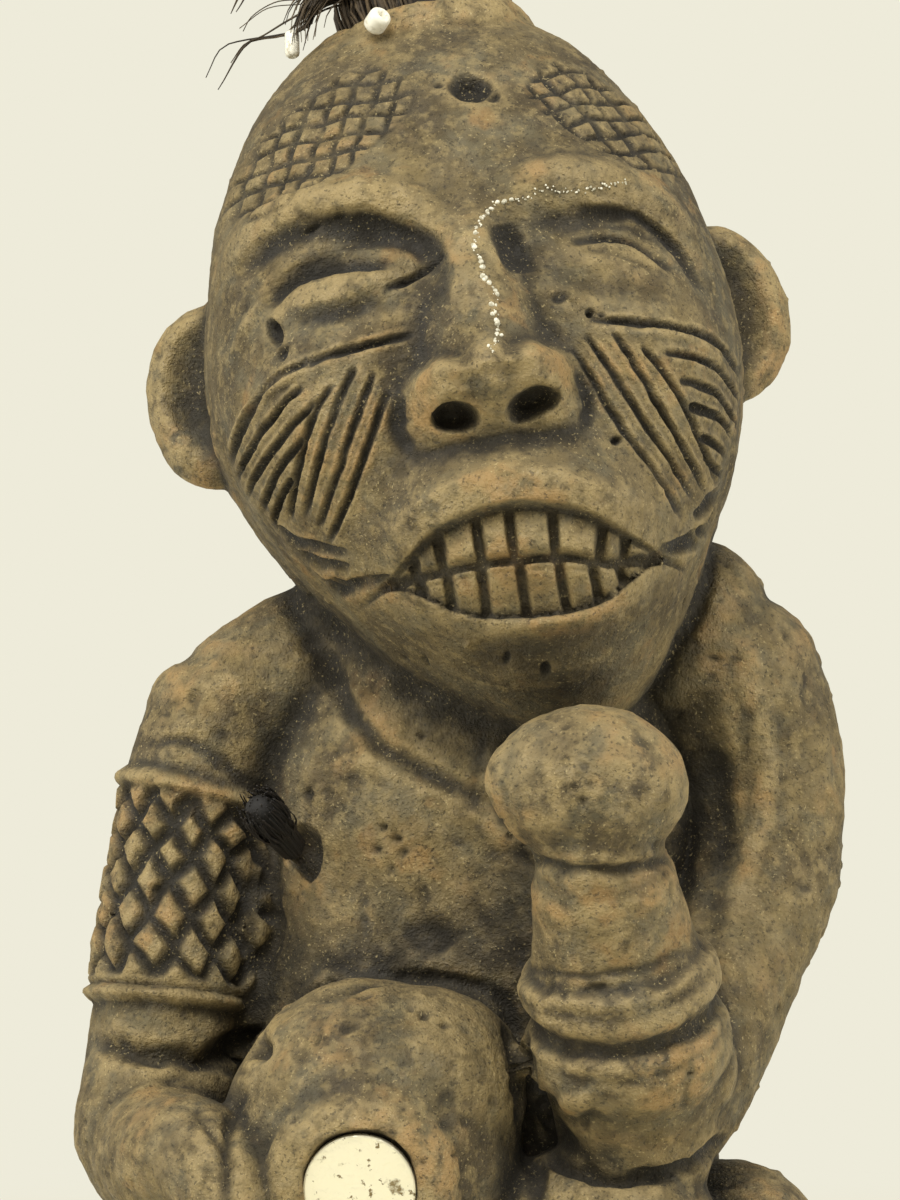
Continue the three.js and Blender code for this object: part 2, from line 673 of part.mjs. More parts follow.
function crownCharge() {
  const { plugRadius, tuftRadius, top, topRadius, lock } = CHARGE;
  const rim = COLLAR.rim + GAP;
  const bundle = crownTurned([
    [0, SOCKET.floor + GAP], [plugRadius, SOCKET.floor + GAP], [plugRadius, rim], [tuftRadius, rim],
    [tuftRadius + 1, rim + 5], [tuftRadius - 1.5, rim + 15], [topRadius + 3, top - 7], [topRadius, top - 1.5],
    [topRadius - 3, top], [0, top],
  ], 16);
  const path = lock.path.map(([u, v, w]) => inHead(u, v, w)).map((p) => [p.x, p.y, p.z]);
  return bundle.add(limb({ path, radii: lock.radii }, 8, 5));
}

function beadSolid({ at, radius, hole, length, turn }) {
  const half = length / 2;
  const outline = [
    [hole, -half], [radius - 0.5, -half], [radius, -half + 0.6], [radius, half - 0.6],
    [radius - 0.5, half], [hole, half], [hole, -half],
  ];
  const geometry = new THREE.LatheGeometry(outline.map(([r, z]) => new THREE.Vector2(r, z)), 9);
  geometry.rotateX(Math.PI / 2);
  geometry.applyMatrix4(new THREE.Matrix4().makeRotationFromEuler(
    new THREE.Euler(rad(turn[0]), rad(turn[1]), rad(turn[2])),
  ));
  geometry.translate(at[0], -at[2], at[1]);
  geometry.applyMatrix4(headPlace);
  return solidOf(geometry);
}

function named(name, solid, colour, roughness, metalness = 0) {
  const material = new THREE.MeshStandardMaterial({ color: colour, roughness, metalness });
  const mesh = new THREE.Mesh(geometryOf(solid), material);
  mesh.name = name;
  return mesh;
}

const group = new THREE.Group();
group.add(named('figure', figureSolid(), 0x5d5137, 0.85));
group.add(named('crown_charge', crownCharge(), 0x2e261b, 0.95));
for (const bead of BEADS) {
  group.add(named(bead.name, beadSolid(bead), 0xe6e0d0, 0.35));
}
group.add(named('chest_plug', chestPlugLine().solid(8, 0.5), 0x15110d, 0.95));
group.add(named('belly_mirror', mirrorDisc(MIRROR.radius, MIRROR.thickness, MIRROR.recess - GAP), 0xd8d4c2, 0.15, 0.9));

export default group;
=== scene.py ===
"""Visual model of a seated power figure of dark fired clay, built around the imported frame.

Forms are worked out in millimetres and scaled to metres when a piece is finished. -Y is where the
face looks and +Z is up. The head has its own axes: u to the viewer's right, v up to the crown and
w out of the face.
"""

import logging
import math
from dataclasses import dataclass, field
from enum import Enum
from typing import Callable, Sequence

import bmesh
import bpy
import numpy as np
from mathutils import Euler, Matrix, Vector

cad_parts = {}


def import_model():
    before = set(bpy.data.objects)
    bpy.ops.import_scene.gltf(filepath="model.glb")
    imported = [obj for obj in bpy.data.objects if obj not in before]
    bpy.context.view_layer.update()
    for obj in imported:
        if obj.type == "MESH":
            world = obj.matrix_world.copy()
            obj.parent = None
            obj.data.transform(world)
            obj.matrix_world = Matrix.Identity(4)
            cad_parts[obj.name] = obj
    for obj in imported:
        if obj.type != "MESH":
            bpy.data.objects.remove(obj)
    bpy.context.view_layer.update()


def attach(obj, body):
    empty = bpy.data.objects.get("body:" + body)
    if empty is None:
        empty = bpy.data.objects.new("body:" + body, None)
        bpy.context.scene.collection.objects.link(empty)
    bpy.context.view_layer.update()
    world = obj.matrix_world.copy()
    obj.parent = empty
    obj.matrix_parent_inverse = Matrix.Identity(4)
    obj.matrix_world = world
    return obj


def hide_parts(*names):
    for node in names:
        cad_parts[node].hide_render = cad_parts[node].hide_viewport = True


LOG = logging.getLogger("power_figure")

MM = 0.001

Array = np.ndarray
Point = tuple[float, float, float]
Spot = tuple[float, float]


def ease(value: Array, low: float, high: float) -> Array:
    """Smooth step from 0 at low to 1 at high."""
    share = np.clip((value - low) / (high - low), 0.0, 1.0)
    return share * share * (3.0 - 2.0 * share)


def bump_of(share: Array) -> Array:
    """A soft hill of height 1 where share is 0, level with the ground where it is 1 or more."""
    return np.where(share < 1.0, (1.0 - np.minimum(share, 1.0) ** 2) ** 2, 0.0)


# Shared forms


@dataclass(frozen=True)
class Unevenness:
    """Seeded smooth noise in space, for the unevenness of clay worked by hand.

    Attributes:
        seed: The seed of the lattice.
        size: The size of one lump, in millimetres.
        octaves: How many finer layers are added, each half as large and half as strong.
    """

    seed: int
    size: float
    octaves: int = 1

    def at(self, places: Array) -> Array:
        """Noise at each place.

        Args:
            places: Points in millimetres, one a row.

        Returns:
            One value for each point, from about -1 to 1.
        """
        side = 32
        lattice = np.random.default_rng(self.seed).uniform(-1.0, 1.0, (side, side, side))
        total = np.zeros(len(places))
        size, weight = self.size, 1.0
        for layer in range(self.octaves):
            scaled = places / size + 17.3 * (layer + 1)
            whole = np.floor(scaled).astype(int)
            part = scaled - whole
            part = part * part * (3.0 - 2.0 * part)
            value = np.zeros(len(places))
            for corner in range(8):
                step = np.array([corner & 1, (corner >> 1) & 1, (corner >> 2) & 1])
                share = np.prod(np.where(step == 1, part, 1.0 - part), axis=1)
                cell = (whole + step) % side
                value += share * lattice[cell[:, 0], cell[:, 1], cell[:, 2]]
            total += weight * value
            size, weight = size / 2.0, weight / 2.0
        return total


def curve_through(points: Sequence[Point], count: int = 240) -> Array:
    """Evenly spaced points on a centripetal Catmull-Rom curve.

    Args:
        points: The points that the curve goes through.
        count: How many points to return.

    Returns:
        An array of points, one a row.
    """
    knots = np.array(points, float)
    if len(knots) == 2:
        return knots[0] + np.linspace(0.0, 1.0, count)[:, None] * (knots[1] - knots[0])
    padded = np.vstack([2 * knots[0] - knots[1], knots, 2 * knots[-1] - knots[-2]])
    fine = []
    for i in range(len(knots) - 1):
        a, b, c, d = padded[i : i + 4]
        gaps = [max(np.linalg.norm(q - p) ** 0.5, 1e-4) for p, q in ((a, b), (b, c), (c, d))]
        leave = (b - a) / gaps[0] - (c - a) / (gaps[0] + gaps[1]) + (c - b) / gaps[1]
        arrive = (c - b) / gaps[1] - (d - b) / (gaps[1] + gaps[2]) + (d - c) / gaps[2]
        leave, arrive = leave * gaps[1], arrive * gaps[1]
        t = np.linspace(0.0, 1.0, 60, endpoint=False)[:, None]
        fine.append(
            b
            + leave * t
            + (-3 * b + 3 * c - 2 * leave - arrive) * t**2
            + (2 * b - 2 * c + leave + arrive) * t**3
        )
    line = np.vstack([*fine, knots[-1:]])
    run = np.concatenate([[0.0], np.cumsum(np.linalg.norm(np.diff(line, axis=0), axis=1))])
    even = np.linspace(0.0, run[-1], count)
    return np.stack([np.interp(even, run, line[:, k]) for k in range(3)], axis=1)


def values_through(values: Sequence[float], share: Array) -> Array:
    """A smooth curve through evenly spaced values, read at shares from 0 to 1."""
    knots = np.array(values, float)
    last = len(knots) - 1
    spot = np.clip(share, 0.0, 1.0) * last
    i = np.minimum(np.floor(spot).astype(int), last - 1)
    t = spot - i
    a, b = knots[np.maximum(i - 1, 0)], knots[i]
    c, d = knots[i + 1], knots[np.minimum(i + 2, last)]
    leave, arrive = (c - a) / 2.0, (d - b) / 2.0
    return (
        b
        + leave * t
        + (-3 * b + 3 * c - 2 * leave - arrive) * t**2
        + (2 * b - 2 * c + leave + arrive) * t**3
    )


def sphere_as(around: int, rows: int, skin: Callable[[Array, Array], Array]) -> bmesh.types.BMesh:
    """A sphere whose vertices are moved on to another closed form.

    Args:
        around: Segments around the axis.
        rows: Rings from pole to pole.
        skin: Gives places from the share of the way from the first pole and the angle around.

    Returns:
        The shaped shell.
    """
    shell = bmesh.new()
    bmesh.ops.create_uvsphere(shell, u_segments=around, v_segments=rows, radius=1.0)
    unit = np.array([v.co for v in shell.verts])
    down = np.arccos(np.clip(unit[:, 2], -1.0, 1.0)) / math.pi
    places = skin(down, np.arctan2(unit[:, 1], unit[:, 0]))
    for vertex, place in zip(shell.verts, places):
        vertex.co = place
    return shell


@dataclass(frozen=True)
class Limb:
    """A round limb along a smooth path, with rounded ends.

    Attributes:
        path: Points through the limb's middle.
        radii: Half-thickness at even steps, or empty if stations are given.
        stations: Pairs of share and half-thickness, softened a little.
        widen: How many times wider the limb is across its own side.
        reference: The direction that the sideways axis is square to.
        cap: How far each end bulges, as a share of its half-thickness.
        soften: The softening of the stations, as a share of the length.
    """

    path: tuple[Point, ...]
    radii: tuple[float, ...] = ()
    stations: tuple[Spot, ...] = ()
    widen: float = 1.0
    reference: Point = (1.0, 0.0, 0.0)
    cap: float = 0.85
    soften: float = 0.012

    def line(self) -> Array:
        """Evenly spaced points through the limb's middle."""
        return curve_through(self.path)

    def length(self) -> float:
        """The length of the middle line in millimetres."""
        return float(np.linalg.norm(np.diff(self.line(), axis=0), axis=1).sum())

    def thickness(self, share: Array) -> Array:
        """The half-thickness at shares of the length."""
        if self.radii:
            return values_through(self.radii, share)
        fine = np.linspace(-0.2, 1.2, 1401)
        steps = np.interp(fine, *np.array(self.stations).T)
        reach = np.arange(-60, 61) * 0.001
        weights = np.exp(-0.5 * (reach / self.soften) ** 2)
        soft = np.convolve(steps, weights / weights.sum(), mode="same")
        return np.interp(share, fine, soft)

    def axes(self, share: Array) -> tuple[Array, Array, Array, Array]:
        """Middle, direction, sideways and upward axes at shares of the length."""
        line = self.line()
        steps = np.linspace(0.0, 1.0, len(line))
        tangent = np.gradient(line, axis=0)
        tangent /= np.linalg.norm(tangent, axis=1)[:, None]
        middle = np.stack([np.interp(share, steps, line[:, k]) for k in range(3)], axis=1)
        along = np.stack([np.interp(share, steps, tangent[:, k]) for k in range(3)], axis=1)
        along /= np.linalg.norm(along, axis=1)[:, None]
        across = np.cross(np.array(self.reference), along)
        across /= np.linalg.norm(across, axis=1)[:, None]
        return middle, along, across, np.cross(along, across)

    def skin(self, down: Array, angle: Array) -> Array:
        """Places on the skin, from a share of the way along and an angle around."""
        length = self.length()
        ends = [float(self.thickness(np.array([s]))[0]) for s in (0.0, 1.0)]
        caps = [end * max(self.cap, 0.4) * 1.2 for end in ends]
        walk = down * (length + sum(caps))
        first = np.clip(walk / caps[0], 0.0, 1.0) * math.pi / 2
        last = np.clip((walk - caps[0] - length) / caps[1], 0.0, 1.0) * math.pi / 2
        share = np.clip((walk - caps[0]) / length, 0.0, 1.0)
        radius = self.thickness(share) * np.sin(first) * np.cos(last)
        past = ends[1] * self.cap * np.sin(last) - ends[0] * self.cap * np.cos(first)
        middle, along, across, up = self.axes(share)
        side = (radius * np.cos(angle))[:, None] * across
        rise = (radius * np.sin(angle) * self.widen)[:, None] * up
        return middle + past[:, None] * along + side + rise

    def shell(self, around: int = 48, rows: int = 90) -> bmesh.types.BMesh:
        """The limb as a closed shell."""
        return sphere_as(around, rows, self.skin)

    def nearest(self, places: Array) -> tuple[Array, Array, Array]:
        """Share along, angle around and distance from the middle line for each place."""
        line = self.line()
        best = np.zeros(len(places), int)
        least = np.full(len(places), 1e9)
        for i, point in enumerate(line):
            gap = ((places - point) ** 2).sum(axis=1)
            closer = gap < least
            best[closer] = i
            least[closer] = gap[closer]
        share = best / (len(line) - 1)
        middle, along, across, up = self.axes(share)
        offset = places - middle
        share = share + (offset * along).sum(axis=1) / self.length()
        x, z = (offset * across).sum(axis=1), (offset * up).sum(axis=1) / self.widen
        return share, np.arctan2(z, x), np.hypot(x, z)


@dataclass(frozen=True)
class Ball:
    """An oval body: its middle, its half-axes and its turn in degrees."""

    at: Point
    radii: Point
    turn: Point = (0.0, 0.0, 0.0)

    def shell(self, around: int = 64, rows: int = 44) -> bmesh.types.BMesh:
        """The ball as a closed shell."""
        shell = bmesh.new()
        place = (
            Matrix.Translation(self.at)
            @ Euler([math.radians(a) for a in self.turn]).to_matrix().to_4x4()
            @ Matrix.Diagonal((*self.radii, 1.0))
        )
        bmesh.ops.create_uvsphere(
            shell, u_segments=around, v_segments=rows, radius=1.0, matrix=place
        )
        return shell


@dataclass(frozen=True)
class Swell:
    """A soft swelling or hollow of the face: an oval spot and how far it stands out."""

    at: Spot
    reach: Spot
    rise: float
    turn: float = 0.0

    def height(self, u: Array, v: Array) -> Array:
        """How far the swelling stands out at u, v."""
        c, s = math.cos(math.radians(self.turn)), math.sin(math.radians(self.turn))
        du, dv = u - self.at[0], v - self.at[1]
        share = ((du * c + dv * s) / self.reach[0]) ** 2 + ((dv * c - du * s) / self.reach[1]) ** 2
        return self.rise * np.where(share < 1.0, (1.0 - np.minimum(share, 1.0)) ** 2, 0.0)


@dataclass(frozen=True)
class Stroke:
    """A cut or a ridge drawn along a line of u, v points.

    Attributes:
        points: The line.
        half: Half the stroke's width.
        depth: How deep it goes; less than 0 makes a ridge.
        rim: How far the clay is pushed up beside a cut, as a share of its depth.
        taper: The share of the length over which each end fades.
    """

    points: tuple[Spot, ...]
    half: float
    depth: float
    rim: float = 0.0
    taper: float = 0.15

    def height(self, u: Array, v: Array) -> Array:
        """How far the stroke moves the surface at u, v."""
        line = curve_through([(p[0], p[1], 0.0) for p in self.points], 8 * len(self.points))[:, :2]
        near, share = np.full(len(u), 1e9), np.zeros(len(u))
        reach = self.half * 2.4
        box = (
            (u > line[:, 0].min() - reach)
            & (u < line[:, 0].max() + reach)
            & (v > line[:, 1].min() - reach)
            & (v < line[:, 1].max() + reach)
        )
        if not box.any():
            return np.zeros(len(u))
        pu, pv = u[box], v[box]
        best, part = np.full(len(pu), 1e9), np.zeros(len(pu))
        for i, (a, b) in enumerate(zip(line[:-1], line[1:])):
            step = b - a
            t = ((pu - a[0]) * step[0] + (pv - a[1]) * step[1]) / max(step @ step, 1e-9)
            t = np.clip(t, 0.0, 1.0)
            gap = np.hypot(pu - a[0] - t * step[0], pv - a[1] - t * step[1])
            closer = gap < best
            best[closer] = gap[closer]
            part[closer] = (i + t[closer]) / (len(line) - 1)
        near[box], share[box] = best, part
        ends = 1.0
        if self.taper > 0:
            ends = np.clip(np.minimum(share, 1.0 - share) / self.taper, 0.0, 1.0)
            ends = 0.25 + 0.75 * np.sqrt(ends)
        cut = np.where(near < self.half, (1.0 - (near / self.half) ** 2) ** 1.4, 0.0)
        side = bump_of(np.abs(near - 1.5 * self.half) / (0.8 * self.half))
        return ends * (-self.depth * cut + self.rim * abs(self.depth) * side)


# The head


@dataclass(frozen=True)
class Nose:
    """The nose: a ridge that widens into two wings, and an underside that falls to the lip."""

    root: Spot = (14.0, 26.0)
    bridge: float = 21.0
    rim: float = -11.4
    foot: float = -18.9
    ridge_rise: Spot = (3.2, 6.0)
    ridge_half: Spot = (7.4, 4.2)
    wing_at: Spot = (8.6, -10.4)
    wing_reach: Spot = (6.6, 6.6)
    wing_rise: float = 6.8
    tip_at: Spot = (0.5, -10.0)
    tip_reach: Spot = (6.6, 7.6)
    tip_rise: float = 3.4

    def body(self, u: Array, v: Array) -> Array:
        """How far the nose stands out above its rim."""
        down = np.clip((self.bridge - v) / (self.bridge - self.rim), 0.0, 1.0)
        half = self.ridge_half[0] + self.ridge_half[1] * down**1.5
        across = np.minimum(1.0, np.abs(u - 0.4) / half)
        rise = self.ridge_rise[0] + self.ridge_rise[1] * down**1.3
        height = rise * (1.0 - across**2) ** 1.3 * (1.0 - ease(v, *self.root))
        tip = np.hypot((u - self.tip_at[0]) / self.tip_reach[0], (v - self.tip_at[1]) / self.tip_reach[1])
        height = height + self.tip_rise * bump_of(tip)
        for side in (-1.0, 1.0):
            du = (u - side * self.wing_at[0]) / self.wing_reach[0]
            dv = (v - self.wing_at[1]) / self.wing_reach[1]
            height = height + self.wing_rise * (1.0 - ease(np.hypot(du, dv), 0.2, 1.0))
        return height

    def height(self, u: Array, v: Array) -> Array:
        """How far the nose stands out at u, v."""
        fall = np.clip((v - self.foot) / (self.rim - self.foot), 0.0, 1.0)
        fall = fall ** 0.9 * (1.0 - 0.12 * ease(fall, 0.8, 1.0) * (1.0 - ease(v, self.rim, self.rim + 2.0)))
        return self.body(u, np.maximum(v, self.rim)) * fall


@dataclass(frozen=True)
class Mouth:
    """The bared mouth: lips around two rows of square teeth, in the head's u and v.

    Attributes:
        fold: The upper lip's outer fold.
        upper: The upper edge of the opening.
        lower: The lower edge of the opening.
        bite: The line between the rows of teeth.
        upper_gaps: Where the gaps of the upper row are at the bite, and how far each leans.
        lower_gaps: The same for the lower row.
    """

    fold: tuple[Spot, ...] = (
        (-24.0, -33.0), (-19.5, -30.0), (-14.4, -27.2), (-7.2, -25.6), (1.2, -25.4), (10.3, -28.2),
        (19.7, -31.2), (26.1, -32.8), (30.0, -34.0),
    )
    upper: tuple[Spot, ...] = (
        (-20.5, -35.8), (-17.3, -34.2), (-14.4, -32.8), (-11.8, -31.7), (-8.1, -31.0), (-4.6, -30.7),
        (-1.2, -30.6), (2.2, -31.0), (5.7, -31.6), (8.9, -32.4), (11.7, -33.2), (14.9, -34.9),
        (18.3, -36.6), (23.5, -38.6),
    )
    lower: tuple[Spot, ...] = (
        (-20.5, -36.4), (-17.6, -37.8), (-14.6, -40.2), (-11.6, -42.6), (-8.3, -44.5), (-3.7, -45.9),
        (1.1, -46.9), (5.9, -47.1), (10.2, -46.4), (14.0, -45.0), (17.6, -42.6), (20.6, -40.4),
        (23.5, -39.2),
    )
    bite: tuple[Spot, ...] = (
        (-20.5, -36.1), (-17.4, -36.4), (-11.9, -37.2), (-5.8, -38.0), (0.9, -38.7), (7.2, -39.1),
        (11.3, -39.8), (14.0, -40.2), (23.5, -38.9),
    )
    upper_gaps: tuple[Spot, ...] = (
        (-16.0, -0.12), (-11.7, -0.05), (-5.7, 0.0), (-0.7, 0.04), (5.7, 0.1), (12.6, 0.28), (16.6, 0.3),
    )
    lower_gaps: tuple[Spot, ...] = (
        (-15.6, 0.1), (-11.2, 0.0), (-6.0, 0.0), (0.0, 0.02), (6.1, 0.06), (11.4, 0.1), (15.6, 0.3),
    )
    recess: float = 3.6
    tooth_rise: float = 3.0
    gap_half: float = 0.95
    bite_half: float = 0.6
    lip_rise: float = 2.9
    lower_lip_rise: float = 1.5

    @staticmethod
    def level(line: tuple[Spot, ...], u: Array) -> Array:
        """The level of a line at each u."""
        return np.interp(u, *np.array(line).T)

    def _row(self, u: Array, off: Array, deep: Array, gaps: tuple[Spot, ...]) -> Array:
        """How far one row of teeth stands out.

        Args:
            u: Distances to the viewer's right.
            off: Distances from the bite towards the gum.
            deep: Distances from the gum.
            gaps: Where the gaps are and how far each leans.

        Returns:
            One height for each point, from 0 to about 1.
        """
        near = np.full(len(u), 9.0)
        for at, lean in gaps:
            near = np.minimum(near, np.abs(u - at - lean * off))
        sides = ease(near, self.gap_half * 0.35, self.gap_half * 1.25)
        crown = 1.0 - 0.1 * (1.0 - np.minimum(near / 3.4, 1.0)) ** 2
        edge = ease(off, self.bite_half * 0.5, self.bite_half * 1.9)
        lean_out = 0.62 + 0.38 * (1.0 - ease(off, 0.0, 7.0))
        return sides * crown * edge * lean_out * ease(deep, -0.1, 0.9)

    def opening(self, u: Array, v: Array) -> Array:
        """1 inside the opening, 0 outside."""
        above = self.level(self.upper, u) - v
        below = v - self.level(self.lower, u)
        return ease(above, -0.5, 0.6) * ease(below, -0.5, 0.6)

    def height(self, u: Array, v: Array) -> Array:
        """How far lips and teeth stand out at u, v."""
        top, foot, bite = (self.level(line, u) for line in (self.upper, self.lower, self.bite))
        inside = self.opening(u, v)
        upper = self._row(u, v - bite, top - v, self.upper_gaps)
        lower = self._row(u, bite - v, v - foot, self.lower_gaps)
        teeth = np.where(v > bite, upper, lower)
        fine = 0.45 * bump_of(np.abs(v - bite + 1.7) / 0.45) * (u < 12.0)
        hollow = inside * (self.tooth_rise * teeth - self.recess - fine)
        fold = self.level(self.fold, u)
        over = v - fold
        reach = np.maximum(fold - top, 1.0)
        upper_lip = np.where(
            over > 0,
            (1.0 - np.clip(over / 8.5, 0.0, 1.0)) ** 1.6,
            1.0 - 0.55 * np.clip(-over / reach, 0.0, 1.0) ** 1.2,
        ) * ease(v, top - 0.8, top + 0.4)
        upper_lip = upper_lip * ease(u, -27.0, -15.0) * (1.0 - ease(u, 18.0, 30.0))
        under = foot - v
        lower_lip = ease(under, -0.6, 1.6) * (1.0 - ease(under, 1.6, 6.5))
        lower_lip = lower_lip * ease(u, -18.0, 4.0) * (1.0 - ease(u, 17.0, 25.0))
        return hollow + self.lip_rise * upper_lip + self.lower_lip_rise * lower_lip


@dataclass(frozen=True)
class Skull:
    """The head's form in its own axes, with the relief of the face."""

    centre: Point = (1.5, 0.0, 190.0)
    roll: float = 9.5
    pitch: float = 14.0
    crown: float = 70.0
    chin: float = 60.3
    half: float = 45.0
    taper: float = 17.5
    curve: float = 1.44
    shift: float = 6.5
    front: float = 41.0
    back: float = 43.0
    forehead_slope: float = 1.7
    nape_slope: float = 2.3
    jaw_slope: float = 2.0
    roundness: float = 2.3
    nose: Nose = Nose()
    mouth: Mouth = Mouth()
    swells: tuple[Swell, ...] = (
        Swell((-20.0, 26.0), (21.0, 9.0), 2.4, 4.0),
        Swell((23.0, 22.5), (20.0, 9.0), 2.4, -14.0),
        Swell((-19.5, 13.5), (18.0, 10.5), -5.0, 2.0),
        Swell((22.0, 10.5), (18.0, 10.0), -5.0, -12.0),
        Swell((-20.5, 11.6), (15.5, 7.2), 5.6, 3.0),
        Swell((23.5, 9.2), (15.5, 7.6), 5.2, -16.0),
        Swell((-30.0, -7.0), (17.0, 18.0), 2.6),
        Swell((31.0, -9.0), (17.0, 18.0), 2.6),
        Swell((2.0, -37.0), (32.0, 24.0), 9.5),
        Swell((4.5, -52.0), (16.0, 9.0), 3.0),
    )

    def turned(self) -> Array:
        """The rotation from the head's axes, as u, -w, v, to the figure's."""
        pitch, roll = math.radians(-self.pitch), math.radians(-self.roll)
        tip = np.array([
            [1, 0, 0],
            [0, math.cos(pitch), -math.sin(pitch)],
            [0, math.sin(pitch), math.cos(pitch)],
        ])
        lean = np.array([
            [math.cos(roll), 0, math.sin(roll)],
            [0, 1, 0],
            [-math.sin(roll), 0, math.cos(roll)],
        ])
        return tip @ lean

    def out(self, u: Array, v: Array, w: Array) -> Array:
        """Places in the figure from u, v, w."""
        return np.stack([u, -w, v], axis=-1) @ self.turned().T + np.array(self.centre)

    def inside(self, places: Array) -> tuple[Array, Array, Array]:
        """u, v, w of places in the figure."""
        local = (places - np.array(self.centre)) @ self.turned()
        return local[:, 0], local[:, 2], -local[:, 1]

    def point(self, u: float, v: float, w: float) -> Point:
        """One place in the figure from u, v, w."""
        place = self.out(np.array([u]), np.array([v]), np.array([w]))[0]
        return tuple(float(x) for x in place)

    def low(self, v: Array) -> Array:
        """How far down towards the chin, from 0 at the middle."""
        return np.clip(-v, 0.0, self.chin) / self.chin

    def middle(self, v: Array) -> Array:
        """The head's middle at a level: the chin leans to one side."""
        return self.shift * self.low(v) ** 2

    def width(self, v: Array) -> Array:
        """Half the width at a level."""
        reach = np.where(v >= 0, self.crown, self.chin)
        round_off = np.sqrt(np.clip(1.0 - (v / reach) ** 2, 0.0, 1.0))
        return (self.half - self.taper * self.low(v) ** self.curve) * round_off

    def depth(self, v: Array, front: bool) -> Array:
        """Distance from the middle to the front or the back at a level."""
        upper = self.forehead_slope if front else self.nape_slope
        slope = np.where(v >= 0, upper, self.jaw_slope)
        reach = np.where(v >= 0, self.crown, self.chin)
        left = np.clip(1.0 - (np.abs(v) / reach) ** slope, 0.0, 1.0)
        return (self.front if front else self.back) * left ** (1.0 / slope)

    def relief(self, u: Array, v: Array, carving: Sequence[Stroke] = ()) -> Array:
        """How far the face stands out of the plain skull.

        Args:
            u: Distances to the viewer's right.
            v: Levels.
            carving: Strokes to add.

        Returns:
            One height for each point.
        """
        across = np.abs(u - self.middle(v)) / np.maximum(self.width(v), 1e-3)
        height = self.nose.height(u, v) + self.mouth.height(u, v)
        for swell in self.swells:
            height = height + swell.height(u, v)
        height = height * (1.0 - ease(across, 0.84, 1.0))
        for stroke in carving:
            height = height + stroke.height(u, v)
        return height

    def surface(self, u: Array, v: Array, carving: Sequence[Stroke] = ()) -> Array:
        """The face's w at u, v."""
        across = np.abs(u - self.middle(v)) / np.maximum(self.width(v), 1e-3)
        out = (1.0 - np.minimum(across, 0.999) ** self.roundness) ** (1.0 / self.roundness)
        return self.depth(v, True) * out + self.relief(u, v, carving)

    def skin(self, down: Array, angle: Array) -> Array:
        """Places on the head, from a share of the way down and an angle around."""
        level = np.cos(down * math.pi)
        v = np.where(level >= 0, self.crown, self.chin) * level
        across, front = np.cos(angle), np.sin(angle) >= 0
        out = np.clip(1.0 - np.abs(across) ** self.roundness, 0.0, 1.0) ** (1.0 / self.roundness)
        u = self.middle(v) + across * self.width(v)
        ahead = self.depth(v, True) * out + np.where(self.width(v) > 0.5, self.relief(u, v), 0.0)
        return self.out(u, v, np.where(front, ahead, -self.depth(v, False) * out))

    def shell(self) -> bmesh.types.BMesh:
        """The head as a closed shell."""
        return sphere_as(220, 240, self.skin)


@dataclass(frozen=True)
class Ear:
    """An ear: an oval plate with a rolled rim, on one side of the head."""

    skull: Skull
    side: int
    at: Point = (44.0, 9.0, -5.0)
    radii: Point = (11.5, 16.2, 4.6)
    sweep: float = 14.0
    rim: float = 2.0
    bowl: float = 3.4

    def skin(self, down: Array, angle: Array) -> Array:
        """Places on the ear, from a share of the way down and an angle around."""
        x = np.sin(down * math.pi) * np.cos(angle)
        z = np.sin(down * math.pi) * np.sin(angle)
        y = np.cos(down * math.pi)
        reach = np.hypot(x, z)
        thick = self.radii[2] * y
        rolled = self.rim * bump_of(np.abs(reach - 0.82) / 0.22) * (y > 0)
        bowl = self.bowl * (1.0 - ease(reach, 0.25, 0.75)) * (y > 0)
        out = thick + rolled - bowl
        c, s = math.cos(math.radians(self.sweep)), math.sin(math.radians(self.sweep))
        u = self.side * (self.at[0] + x * self.radii[0] * c - out * s * 0.4)
        w = self.at[2] + out * c + x * self.radii[0] * s * -1.0
        return self.skull.out(u, self.at[1] + z * self.radii[1], w)

    def shell(self) -> bmesh.types.BMesh:
        """The ear as a closed shell."""
        return sphere_as(56, 40, self.skin)


# Working a dense mesh


